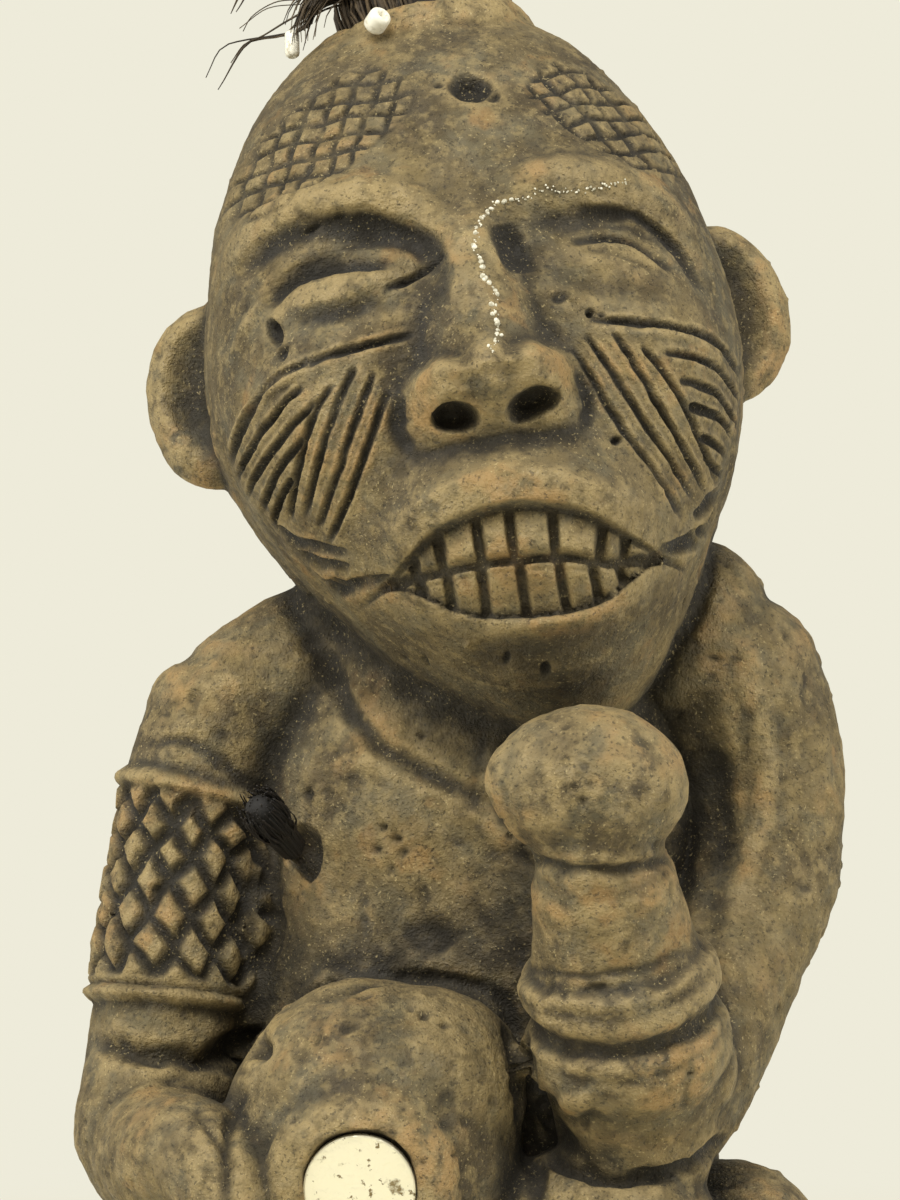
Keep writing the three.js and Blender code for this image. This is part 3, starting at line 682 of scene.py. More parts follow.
class WorkedMesh:
    """A dense mesh whose vertices are moved the way clay is worked, in millimetres.

    Attributes:
        mesh: The mesh itself.
        places: The vertices, one a row.
        normals: The vertex normals, one a row.
        links: The two vertices of each edge, one edge a row.
    """

    def __init__(self, mesh: bpy.types.Mesh) -> None:
        """Reads the mesh."""
        self.mesh = mesh
        count = len(mesh.vertices)
        self.places = np.empty(count * 3)
        mesh.vertices.foreach_get("co", self.places)
        self.places = self.places.reshape(-1, 3)
        links = np.empty(len(mesh.edges) * 2, np.int32)
        mesh.edges.foreach_get("vertices", links)
        self.links = links.reshape(-1, 2)
        self.degree = np.maximum(np.bincount(links, minlength=count), 1)
        self.normals = self._read_normals()

    def _read_normals(self) -> Array:
        """The mesh's vertex normals."""
        flat = np.empty(len(self.mesh.vertices) * 3)
        self.mesh.vertex_normals.foreach_get("vector", flat)
        return flat.reshape(-1, 3)

    def write(self) -> None:
        """Puts the moved vertices into the mesh and refreshes the normals."""
        self.mesh.vertices.foreach_set("co", self.places.ravel())
        self.mesh.update()
        self.normals = self._read_normals()

    def average(self, values: Array) -> Array:
        """The mean of each vertex's neighbours, for a table of values with one row a vertex."""
        a, b = self.links.T
        count = len(self.degree)
        columns = [
            np.bincount(a, values[b, k], count) + np.bincount(b, values[a, k], count)
            for k in range(values.shape[1])
        ]
        return np.stack(columns, axis=1) / self.degree[:, None]

    def smooth(self, steps: int, strength: float = 0.5) -> None:
        """Evens the surface.

        Args:
            steps: How many times.
            strength: The share of the way to the neighbours' middle, each time.
        """
        for _ in range(steps):
            self.places += strength * (self.average(self.places) - self.places)
        self.write()

    def fill_creases(self, steps: int, strength: float = 0.6) -> None:
        """Fills sharp inner corners with clay and leaves what stands out as it is."""
        for _ in range(steps):
            move = self.average(self.places) - self.places
            outward = (move * self.normals).sum(axis=1)
            self.places += np.where(outward > 0, strength, 0.0)[:, None] * move
            self.write()

    def relief(self, steps: int) -> Array:
        """How far each vertex stands out of the surface around it, smoothed so many times."""
        level = self.places.copy()
        for _ in range(steps):
            level += 0.9 * (self.average(level) - level)
        return ((self.places - level) * self.normals).sum(axis=1)

    def enclosed(self, cell: float) -> Array:
        """How far the surface around a vertex lies in front of it: above 0 in hollows.

        Args:
            cell: The size of the neighbourhood in millimetres.

        Returns:
            One number for each vertex, as a share of the size.
        """
        a, b = self.links.T
        long = np.linalg.norm(self.places[a] - self.places[b], axis=1)
        count = len(self.degree)
        area = ((np.bincount(a, long, count) + np.bincount(b, long, count)) / self.degree) ** 2
        spot = (self.places - self.places.min(axis=0)) / cell + 3.0
        shape = tuple(np.ceil(spot.max(axis=0)).astype(int) + 4)
        whole = np.floor(spot).astype(int)
        part = spot - whole
        corners = []
        for corner in range(8):
            step = np.array([corner & 1, (corner >> 1) & 1, (corner >> 2) & 1])
            share = np.prod(np.where(step == 1, part, 1.0 - part), axis=1)
            corners.append((np.ravel_multi_index((whole + step).T, shape), share))
        means = []
        for values in (*(self.places.T * area), area):
            grid = sum(np.bincount(at, share * values, int(np.prod(shape))) for at, share in corners)
            grid = grid.reshape(shape)
            for axis in (0, 1, 2):
                for _ in range(2):
                    grid = 0.5 * grid + 0.25 * (np.roll(grid, 1, axis) + np.roll(grid, -1, axis))
            flat = grid.ravel()
            means.append(sum(flat[at] * share for at, share in corners))
        middle = np.stack(means[:3], axis=1) / np.maximum(means[3], 1e-9)[:, None]
        return ((middle - self.places) * self.normals).sum(axis=1) / cell

    def soften(self, values: Array, steps: int) -> Array:
        """Values spread among neighbours."""
        column = values[:, None].copy()
        for _ in range(steps):
            column += 0.6 * (self.average(column) - column)
        return column[:, 0]

    def keep(self, name: str, values: Array) -> None:
        """Stores one number for each vertex, for the finish to read."""
        layer = self.mesh.attributes.new(name, "FLOAT", "POINT")
        layer.data.foreach_set("value", values.astype(np.float32))


def mesh_of(shell: bmesh.types.BMesh, name: str) -> bpy.types.Mesh:
    """A mesh made from a bmesh, which is freed."""
    mesh = bpy.data.meshes.new(name)
    shell.to_mesh(mesh)
    shell.free()
    return mesh


def applied(mesh: bpy.types.Mesh, kind: str, **settings: object) -> bpy.types.Mesh:
    """A mesh after one modifier.

    Args:
        mesh: The mesh, which is removed.
        kind: The modifier's type.
        settings: The modifier's settings.

    Returns:
        The new mesh.
    """
    holder = bpy.data.objects.new(mesh.name, mesh)
    bpy.context.scene.collection.objects.link(holder)
    modifier = holder.modifiers.new(kind.lower(), kind)
    for key, value in settings.items():
        setattr(modifier, key, value)
    graph = bpy.context.evaluated_depsgraph_get()
    result = bpy.data.meshes.new_from_object(holder.evaluated_get(graph))
    bpy.data.objects.remove(holder)
    bpy.data.meshes.remove(mesh)
    return result


def turned(profile: Sequence[Spot], steps: int, closed: bool = False) -> bmesh.types.BMesh:
    """A form turned about the upright axis.

    Args:
        profile: Radius and height of each point.
        steps: How many steps round.
        closed: Whether the profile's last point joins its first, as in a ring.

    Returns:
        The turned shell.
    """
    shell = bmesh.new()
    points = [shell.verts.new((r, 0.0, z)) for r, z in profile]
    line = [shell.edges.new(pair) for pair in zip(points, points[1:])]
    if closed:
        line.append(shell.edges.new((points[-1], points[0])))
    bmesh.ops.spin(
        shell,
        geom=points + line,
        cent=(0.0, 0.0, 0.0),
        axis=(0.0, 0.0, 1.0),
        dvec=(0.0, 0.0, 0.0),
        angle=2.0 * math.pi,
        steps=steps,
        use_merge=True,
    )
    bmesh.ops.remove_doubles(shell, verts=shell.verts, dist=1e-4)
    bmesh.ops.recalc_face_normals(shell, faces=shell.faces)
    return shell


def finished(name: str, mesh: bpy.types.Mesh, *materials: bpy.types.Material) -> bpy.types.Object:
    """An object in metres at the origin, from a mesh in millimetres, with its finish."""
    mesh.name = name
    mesh.transform(Matrix.Scale(MM, 4))
    mesh.materials.clear()
    for material in materials:
        mesh.materials.append(material)
    for face in mesh.polygons:
        face.use_smooth = True
    piece = bpy.data.objects.new(name, mesh)
    bpy.context.scene.collection.objects.link(piece)
    return piece


@dataclass(frozen=True)
class View:
    """The front view, 900 units wide and 1200 high, that the body's marks are placed in.

    Attributes:
        at: Where it is seen from.
        middle: The view's middle, in its own units.
        distance: The distance at which one unit is the scale in millimetres.
        scale: Millimetres a unit at that distance.
    """

    at: Point = (-3.0, -787.0, 156.0)
    middle: Spot = (450.0, 600.0)
    distance: float = 750.0
    scale: float = 0.16

    def seen(self, places: Array) -> tuple[Array, Array]:
        """Where places are seen: units from the left and from the top."""
        ratio = self.distance / (places[:, 1] - self.at[1]) / self.scale
        across = self.middle[0] + (places[:, 0] - self.at[0]) * ratio
        return across, self.middle[1] - (places[:, 2] - self.at[2]) * ratio

    def open(self, places: Array, normals: Array) -> Array:
        """1 where a place is seen from the front and nothing is before it, else 0."""
        x, y = self.seen(places)
        cell = 5.0
        i = np.clip((x / cell).astype(int) + 20, 0, 239)
        j = np.clip((y / cell).astype(int) + 20, 0, 399)
        near = np.full((240, 400), 1e9)
        np.minimum.at(near, (i, j), places[:, 1])
        gap = places[:, 1] - near[i, j]
        return (1.0 - ease(gap, 3.0, 6.0)) * ease(-normals[:, 1], 0.02, 0.25)


@dataclass(frozen=True)
class Pit:
    """A steep-sided pit, or with a depth below 0 a crumb: its spot, half-sizes, depth and turn."""

    at: Spot
    reach: Spot
    depth: float
    turn: float = 0.0

    def height(self, u: Array, v: Array) -> Array:
        """How far the pit moves the surface at u, v."""
        c, s = math.cos(math.radians(self.turn)), math.sin(math.radians(self.turn))
        du, dv = u - self.at[0], v - self.at[1]
        share = np.hypot((du * c + dv * s) / self.reach[0], (dv * c - du * s) / self.reach[1])
        return -self.depth * (1.0 - ease(share, 0.35, 1.0))


@dataclass(frozen=True)
class Hatch:
    """A patch of crossed cuts that leaves small lozenges, within a rounded outline.

    Attributes:
        at: The patch's middle.
        reach: Its half-sizes.
        turn: Its turn in degrees.
        slants: The directions of the two rows of cuts, in degrees.
        pitch: The distance between cuts.
        half: Half the width of a cut.
        depth: The depth of a cut.
    """

    at: Spot
    reach: Spot
    turn: float
    slants: Spot
    pitch: float
    half: float
    depth: float

    def height(self, u: Array, v: Array) -> Array:
        """How far the cuts move the surface at u, v."""
        c, s = math.cos(math.radians(self.turn)), math.sin(math.radians(self.turn))
        du, dv = u - self.at[0], v - self.at[1]
        x, y = (du * c + dv * s) / self.reach[0], (dv * c - du * s) / self.reach[1]
        inside = 1.0 - ease((np.abs(x) ** 3 + np.abs(y) ** 3) ** (1 / 3), 0.88, 1.05)
        waver = 0.25 * np.sin(0.61 * du + 0.9) + 0.25 * np.sin(0.83 * dv + 0.37 * du)
        deepest = np.zeros(len(u))
        for slant in self.slants:
            a = math.radians(slant)
            line = (dv * math.cos(a) - du * math.sin(a) + waver) / self.pitch
            gap = np.abs(line - np.round(line)) * self.pitch
            deepest = np.maximum(deepest, 1.0 - ease(gap, 0.3 * self.half, 1.5 * self.half))
        return -self.depth * deepest * inside


# The clay figure


@dataclass(frozen=True)
class FaceCuts:
    """The carving of the face, in the head's u and v."""

    cheek: tuple[tuple[Spot, ...], ...] = (
        ((14.3, -6.2), (20.6, -20.0), (27.9, -31.7)),
        ((17.0, -4.3), (23.2, -17.4), (30.2, -28.6)),
        ((21.4, -4.5), (26.7, -16.1), (32.7, -26.8)),
        ((25.7, -6.6), (31.9, -17.5), (35.1, -24.5)),
        ((29.3, -7.9), (36.6, -8.4), (41.8, -11.0)),
        ((31.1, -12.2), (37.2, -12.7), (41.1, -15.4)),
        ((32.2, -16.0), (37.2, -16.2), (39.5, -17.2)),
        ((33.7, -20.1), (35.7, -20.2), (37.6, -20.6)),
        ((33.8, -22.7), (35.6, -23.4), (36.6, -23.5)),
        ((-16.1, -8.2), (-23.1, -19.8), (-28.7, -26.6)),
        ((-17.8, -5.0), (-23.9, -15.2), (-30.0, -24.0)),
        ((-20.6, -3.2), (-26.6, -12.3), (-32.0, -21.6)),
        ((-24.6, -5.3), (-28.9, -9.9), (-34.5, -20.4)),
        ((-29.4, -3.9), (-38.6, -8.9), (-42.7, -10.6)),
        ((-27.9, -7.2), (-36.1, -11.5), (-41.4, -13.9)),
        ((-30.6, -11.8), (-34.8, -14.1), (-39.1, -17.2)),
        ((-33.5, -16.6), (-35.5, -17.8), (-37.5, -19.7)),
    )
    corners: tuple[tuple[Spot, ...], ...] = (
        ((30.8, -31.3), (32.9, -29.3), (35.9, -26.0)),
        ((31.1, -33.4), (33.3, -31.4), (35.9, -27.9)),
        ((28.2, -36.3), (29.7, -34.9)),
        ((-39.6, -17.5), (-33.3, -24.7), (-26.6, -29.2)),
        ((-36.9, -22.2), (-31.9, -27.6), (-26.7, -31.0)),
        ((-34.9, -25.6), (-31.6, -30.3), (-26.1, -34.2)),
    )
    rims: tuple[tuple[Spot, ...], ...] = (
        ((-11.1, 0.3), (-15.0, 0.2), (-19.3, 0.1), (-23.7, -0.2), (-27.7, -0.6)),
        ((-27.8, -0.2), (-35.2, -2.0), (-39.8, -5.4), (-43.5, -8.2)),
        ((18.0, -1.6), (25.2, -2.6), (31.3, -3.4), (36.0, -4.0), (39.3, -4.7), (42.5, -6.9)),
    )
    eyes: tuple[tuple[tuple[Spot, ...], float, float], ...] = (
        (((-31.6, 12.6), (-28.0, 14.9), (-22.5, 15.4), (-17.0, 14.4), (-12.4, 13.2)), 1.5, 1.5),
        (((17.8, 12.6), (22.2, 13.0), (27.3, 11.7), (31.0, 9.0), (33.0, 7.2)), 1.05, 1.25),
    )
    ridges: tuple[tuple[tuple[Spot, ...], float, float], ...] = (
        (((-37.5, 20.5), (-33.8, 26.2), (-27.7, 28.3), (-19.5, 27.5), (-10.7, 24.8), (-4.0, 19.5)),
         4.4, -1.5),
        (((7.5, 20.0), (13.0, 24.2), (21.0, 24.8), (29.5, 22.4), (36.0, 17.0), (39.6, 9.0)), 4.2, -1.3),
        (((-34.2, 13.6), (-30.6, 17.0), (-25.0, 18.4), (-18.0, 17.6), (-12.4, 15.4), (-7.0, 12.6)),
         1.7, -0.75),
        (((-33.4, 13.0), (-36.4, 10.9), (-38.9, 7.4)), 1.5, -0.7),
        (((-28.6, -1.4), (-33.7, -2.0), (-38.2, -3.4), (-41.5, -5.8)), 1.4, -0.8),
        (((20.0, -4.0), (26.0, -4.4), (32.0, -4.8), (38.0, -6.8), (42.0, -9.6)), 1.0, -0.5),
    )
    creases: tuple[tuple[tuple[Spot, ...], float, float], ...] = (
        (((-35.8, 20.6), (-29.3, 22.2), (-21.6, 22.4), (-13.6, 20.6), (-7.6, 17.0), (-4.8, 13.2)),
         2.8, 1.5),
        (((20.0, 17.8), (24.6, 17.2), (29.3, 16.4), (32.8, 13.8), (35.4, 10.4), (37.4, 5.0)), 1.3, 1.1),
        (((-29.8, 8.4), (-23.8, 7.4), (-18.6, 7.2), (-14.5, 8.4)), 2.2, 0.75),
        (((18.4, 10.6), (22.0, 10.4), (26.5, 8.6), (30.4, 6.0)), 0.8, 0.4),
        (((-4.6, 12.6), (-8.0, 10.5), (-13.4, 9.0)), 0.95, 1.3),
        (((6.6, 16.8), (7.4, 12.4), (8.6, 7.6)), 3.2, 1.7),
        (((-6.4, 14.4), (-5.0, 9.0), (-6.4, 3.0)), 2.8, 0.8),
        (((-14.6, -9.6), (-15.6, -14.2), (-14.0, -18.0)), 1.6, 0.9),
        (((14.8, -10.2), (15.6, -14.6), (14.2, -18.4)), 1.6, 0.9),
        (((-19.4, -36.2), (-24.4, -34.2), (-29.4, -31.6)), 0.9, 0.9),
        (((23.0, -38.4), (27.0, -36.6), (31.0, -33.8)), 1.1, 1.1),
        (((-9.0, -49.6), (0.0, -50.9), (9.0, -50.9), (15.0, -49.0)), 2.6, 0.8),
    )
    pits: tuple[Pit, ...] = (
        Pit((-32.2, 7.2), (1.2, 3.3), 2.0, 10.0),
        Pit((-31.4, 3.0), (0.9, 1.6), 1.2, -20.0),
        Pit((18.2, -0.4), (1.1, 1.0), 1.6),
        Pit((20.0, -0.8), (0.9, 0.5), 0.8),
        Pit((13.9, 2.8), (2.2, 1.3), 0.7, 20.0),
        Pit((12.6, 3.6), (0.9, 0.7), -0.6),
        Pit((15.2, 2.4), (0.8, 0.6), -0.6),
        Pit((18.9, -21.1), (1.3, 0.8), 1.4, 15.0),
        Pit((6.2, 44.4), (4.4, 3.4), 2.6, -24.0),
        Pit((9.4, 41.6), (1.6, 1.4), 0.9),
        Pit((1.2, 45.6), (1.2, 0.9), 0.7),
        Pit((-19.0, 23.4), (1.4, 1.0), 0.6),
        Pit((-24.0, 22.4), (1.8, 1.1), 0.7, 20.0),
        Pit((2.0, -53.6), (1.2, 0.9), 0.8),
        Pit((-4.0, -51.2), (0.9, 0.8), 0.7),
        Pit((-17.0, -47.0), (1.0, 1.6), 0.8),
        Pit((-9.6, -47.6), (0.7, 0.7), -0.5),
    )
    hatches: tuple[Hatch, ...] = (
        Hatch((-20.0, 40.0), (18.5, 8.6), 32.0, (-8.0, 66.0), 3.5, 0.55, 0.6),
        Hatch((28.2, 36.8), (14.5, 7.2), -40.0, (14.0, -60.0), 3.6, 0.55, 0.75),
    )

    def fine(self) -> list[Stroke | Pit | Hatch]:
        """Every cut, crease and pit of the face."""
        cuts: list[Stroke | Pit | Hatch] = []
        cuts += [Stroke(line, 0.72, 1.25, 0.18, 0.12) for line in self.cheek]
        cuts += [Stroke(line, 0.66, 1.0, 0.18, 0.2) for line in self.corners]
        cuts += [Stroke(line, 0.85, 1.2, 0.2, 0.25) for line in self.rims]
        cuts += [Stroke(line, half, depth, 0.12, 0.3) for line, half, depth in self.eyes]
        cuts += [Stroke(line, half, depth, 0.0, 0.3) for line, half, depth in self.creases]
        cuts += [Stroke(line, half, depth, 0.0, 0.3) for line, half, depth in self.ridges]
        cuts += [*self.pits, *self.hatches]
        return cuts

    def carved(self, u: Array, v: Array) -> Array:
        """How far the carving moves the surface at u, v: the deepest cut wins over its rims."""
        flat = np.stack([u, v, np.zeros(len(u))], axis=1)
        u = u + 0.28 * Unevenness(41, 2.4).at(flat)
        v = v + 0.28 * Unevenness(42, 2.4).at(flat)
        broken = 1.0 + 0.45 * Unevenness(43, 2.6).at(flat)
        low, high, broad = np.zeros(len(u)), np.zeros(len(u)), np.zeros(len(u))
        for cut in self.fine():
            move = cut.height(u, v)
            if isinstance(cut, Stroke) and cut.half > 1.25:
                broad = broad + move
                continue
            low = np.minimum(low, move)
            high = np.maximum(high, move)
        return broad + low * broken + np.where(low < -0.15, 0.0, high)


@dataclass(frozen=True)
class BodyCuts:
    """Creases, dents and lumps of the body, placed in the front view's units.

    Attributes:
        creases: Lines, each with half its width in the view's units and its depth.
        pits: Pits and, with a depth below 0, lumps.
    """

    creases: tuple[tuple[tuple[Spot, ...], float, float], ...] = (
        (((285, 600), (310, 640), (345, 700), (385, 748), (440, 780), (492, 806)), 15.0, 1.5),
        (((150, 745), (185, 742), (235, 772), (262, 792)), 10.0, 0.8),
        (((262, 800), (272, 860), (270, 930), (256, 985)), 12.0, 1.6),
        (((100, 1044), (150, 1056), (205, 1058), (262, 1036)), 17.0, 3.2),
        (((165, 1084), (205, 1070), (250, 1072)), 8.0, 1.0),
        (((196, 1108), (215, 1140), (238, 1168)), 6.0, 0.9),
        (((244, 1090), (228, 1130), (226, 1200)), 10.0, 1.6),
        (((505, 1000), (520, 1060), (528, 1130), (536, 1200)), 13.0, 2.2),
        (((320, 1000), (400, 978), (470, 985), (512, 1004)), 9.0, 1.4),
        (((540, 1150), (572, 1168), (620, 1178), (680, 1170), (724, 1138)), 9.0, 2.4),
        (((545, 1098), (552, 1125), (575, 1146)), 9.0, 1.0),
        (((712, 560), (704, 600), (668, 668)), 10.0, 1.1),
        (((700, 690), (716, 780), (722, 860), (712, 930)), 22.0, 1.3),
        (((512, 852), (560, 866), (620, 870), (668, 858)), 9.0, 1.2),
        (((520, 962), (570, 975), (640, 972), (690, 950)), 6.0, 0.5),
    )
    ridges: tuple[tuple[tuple[Spot, ...], float, float], ...] = (
        (((500, 742), (492, 780), (496, 826), (512, 846)), 16.0, -1.1),
        (((516, 985), (560, 1003), (625, 1004), (690, 978), (712, 952)), 13.0, -1.5),
        (((524, 1048), (575, 1068), (640, 1066), (700, 1040), (730, 1008)), 12.0, -1.1),
        (((330, 770), (362, 762), (400, 776)), 14.0, -0.7),
        (((148, 690), (200, 676), (250, 690)), 22.0, -0.8),
        (((738, 640), (760, 720), (764, 800), (748, 880)), 16.0, -0.8),
    )
    pits: tuple[Pit, ...] = (
        Pit((258, 1046), (20, 20), 3.2),
        Pit((421, 737), (6, 5), 0.9),
        Pit((384, 826), (6, 5), 1.2), Pit((396, 838), (9, 6), 1.5, 20.0),
        Pit((376, 850), (8, 5), 1.2), Pit((404, 854), (7, 5), 1.0), Pit((392, 868), (5, 4), 0.9),
        Pit((366, 838), (6, 5), -0.6), Pit((410, 840), (6, 5), -0.7),
        Pit((715, 657), (10, 4), 1.1, 10.0), Pit((697, 640), (5, 4), 0.7),
        Pit((572, 786), (5, 4), 0.9), Pit((584, 800), (6, 5), 0.9), Pit((592, 784), (4, 4), 0.7),
        Pit((578, 770), (4, 4), -0.5), Pit((600, 796), (4, 4), -0.5),
        Pit((510, 836), (7, 5), 0.9), Pit((522, 846), (5, 4), 0.7), Pit((504, 820), (4, 3), 0.6),
        Pit((425, 1014), (9, 7), 1.3), Pit((444, 1026), (6, 4), 0.9), Pit((411, 1008), (5, 4), 0.7),
        Pit((573, 1105), (22, 18), -1.0),
        Pit((318, 1040), (3, 10), 0.8, 20.0), Pit((325, 1116), (4, 3), 0.9), Pit((290, 1120), (4, 3), 0.8),
        Pit((453, 1156), (4, 4), 0.8), Pit((421, 1162), (4, 3), 0.8), Pit((188, 700), (5, 3), 0.8),
        Pit((430, 936), (40, 26), 0.9, 10.0), Pit((330, 985), (26, 20), -0.9),
        Pit((596, 989), (18, 7), 0.9, -6.0),
        Pit((690, 1075), (5, 4), 0.7), Pit((305, 792), (7, 6), 0.7),
    )

    def height(self, x: Array, y: Array) -> Array:
        """How far the marks move the surface at x, y in the view."""
        flat = np.stack([x, y, np.zeros(len(x))], axis=1)
        x = x + 3.5 * Unevenness(51, 26.0, 2).at(flat)
        y = y + 3.5 * Unevenness(52, 26.0, 2).at(flat)
        total = np.zeros(len(x))
        for line, half, depth in (*self.creases, *self.ridges):
            total += Stroke(line, half, depth, 0.0, 0.3).height(x, y)
        for pit in self.pits:
            total += pit.height(x, y)
        return total


@dataclass(frozen=True)
class Collar:
    """The socket on the crown: a clay collar around a round hole, in the head's axes."""

    u: float = 2.6
    w: float = -1.0
    foot: float = 42.0
    rim: float = 65.5
    foot_radius: float = 21.0
    radius: float = 19.6
    rim_radius: float = 18.2
    bore: float = 14.6
    floor: float = 55.0

    def shell(self, skull: Skull) -> bmesh.types.BMesh:
        """The collar as a ring in the figure's place."""
        ring = turned(
            [
                (self.bore, self.foot), (self.foot_radius, self.foot),
                (self.foot_radius - 0.6, self.foot + 8.0), (self.radius, self.foot + 14.0),
                (self.rim_radius + 0.4, self.rim - 3.0), (self.rim_radius - 0.9, self.rim),
                (self.bore + 0.8, self.rim), (self.bore, self.rim - 1.2),
            ],
            72,
            closed=True,
        )
        for vertex in ring.verts:
            x, y, z = vertex.co
            vertex.co = skull.point(self.u + x, z, self.w - y)
        return ring

    def sunk(self, u: Array, v: Array, w: Array) -> Array:
        """Levels of the head's skin, let down to the hole's floor inside the collar."""
        inside = 1.0 - ease(np.hypot(u - self.u, w - self.w), self.bore - 0.4, self.bore + 0.6)
        return np.where(v > self.floor, v + (self.floor - v) * inside, v)


@dataclass(frozen=True)
class Armlet:
    """The broad armlet: rows of lozenges between two ridges, by share and angle on the arm."""

    arm: Limb
    top: float = 0.17
    bottom: float = 0.69
    margin: Spot = (0.035, 0.06)
    ridges: tuple[Point, ...] = ((0.185, 0.03, 2.0), (0.635, 0.018, 1.5), (0.668, 0.026, 2.2))
    stud_rise: float = 2.0
    around: int = 11
    rows: int = 6
    groove: float = 0.2
    skew: float = 0.12
    waver: Unevenness = Unevenness(31, 6.0)

    def height(self, places: Array) -> tuple[Array, Array]:
        """How far the armlet stands out of the arm at each place, and how deep in a cut it is."""
        share, angle, reach = self.arm.nearest(places)
        first, last = self.top + self.margin[0], self.bottom - self.margin[1]
        near = reach < 1.35 * self.arm.thickness(share) + 2.0
        row = self.rows * (share - first) / (last - first)
        row = row + 0.2 * self.waver.at(places + 40.0)
        column = self.around * angle / (2.0 * math.pi) + self.skew * row
        column = column + 0.12 * self.waver.at(places)
        gaps = [np.abs(line - np.round(line)) for line in (column + row / 2, column - row / 2)]
        cut = np.min([0.5 - gap for gap in gaps], axis=0)
        stud = ease(cut, 0.3 * self.groove, 1.25 * self.groove)
        field = ease(share, first - 0.012, first + 0.006) * (1 - ease(share, last - 0.006, last + 0.012))
        bands = np.zeros(len(share))
        for at, half, rise in self.ridges:
            bands = np.maximum(bands, rise * bump_of(np.abs(share - at) / half))
        dome = 1.0 - 0.22 * (1.0 - np.minimum(cut / 0.5, 1.0)) ** 2
        rise = self.stud_rise * (stud * dome - 0.25) * field
        return np.maximum(rise, bands - 0.35 * field) * near, (1.0 - stud) * field * near


@dataclass(frozen=True)
class Mirror:
    """The seat of the looking glass in the belly, and the ragged crust around it."""

    at: Point = (-17.4, -45.6, 62.4)
    radius: float = 9.0
    thickness: float = 1.6
    recess: float = 2.6
    tip: float = -4.0
    lean: float = 7.0
    gap: float = 0.3

    def place(self) -> Matrix:
        """The mirror's own axes in the figure: its local +Z looks out of the belly."""
        tip = Matrix.Rotation(math.radians(self.tip), 4, "Z")
        lean = Matrix.Rotation(math.radians(self.lean), 4, "X")
        outward = Matrix.Rotation(math.radians(90.0), 4, "X")
        return Matrix.Translation(self.at) @ tip @ lean @ outward

    def local(self, places: Array) -> Array:
        """Places in the mirror's own axes."""
        into = np.array(self.place().inverted())
        return places @ into[:3, :3].T + into[:3, 3]

    def crust(self) -> bmesh.types.BMesh:
        """A lumpy ring of crust that overlaps the edge of the glass."""
        ring = turned(
            [
                (self.radius - 3.4, -0.5), (self.radius - 2.6, 0.3), (self.radius - 0.8, 0.7),
                (self.radius + 2.0, 0.2), (self.radius + 5.0, -1.6), (self.radius + 7.0, -4.6),
                (self.radius + 4.0, -6.5), (self.radius + 1.2, -5.6), (self.radius + 0.3, -2.6),
                (self.radius + 0.3, -0.6), (self.radius - 1.0, -0.55),
            ],
            96,
            closed=True,
        )
        places = np.array([v.co for v in ring.verts])
        angle = np.arctan2(places[:, 1], places[:, 0])
        reach = np.hypot(places[:, 0], places[:, 1])
        noise = Unevenness(77, 4.5, 2).at(places)
        inner = 1.0 - ease(reach, self.radius - 1.0, self.radius + 1.0)
        ragged = 1.5 * np.sin(3 * angle + 0.6) + 0.9 * np.sin(7 * angle) + 1.4 * noise
        scale = 1.0 - inner * np.clip(ragged, -0.6, 3.0) / np.maximum(reach, 1.0)
        lift = np.where(places[:, 2] > -0.3, 0.5 * noise, 0.0)
        for vertex, share, rise in zip(ring.verts, scale, lift):
            vertex.co = (vertex.co.x * share, vertex.co.y * share, vertex.co.z + rise)
        bmesh.ops.transform(ring, matrix=self.place(), verts=ring.verts)
        return ring


@dataclass(frozen=True)
class Bore:
    """The hole in the chest that the bristles are pushed into."""

    root: Point = (-29.6, -8.0, 115.4)
    tip: Point = (-35.0, -22.0, 123.0)
    radius: float = 3.7
    depth: float = 5.0

    def along(self, places: Array) -> tuple[Array, Array, Array]:
        """Distance along the bore, distance from its axis, and its direction."""
        root, tip = np.array(self.root), np.array(self.tip)
        line = (tip - root) / np.linalg.norm(tip - root)
        walk = (places - root) @ line
        off = np.linalg.norm(places - root - walk[:, None] * line, axis=1)
        return walk, off, line


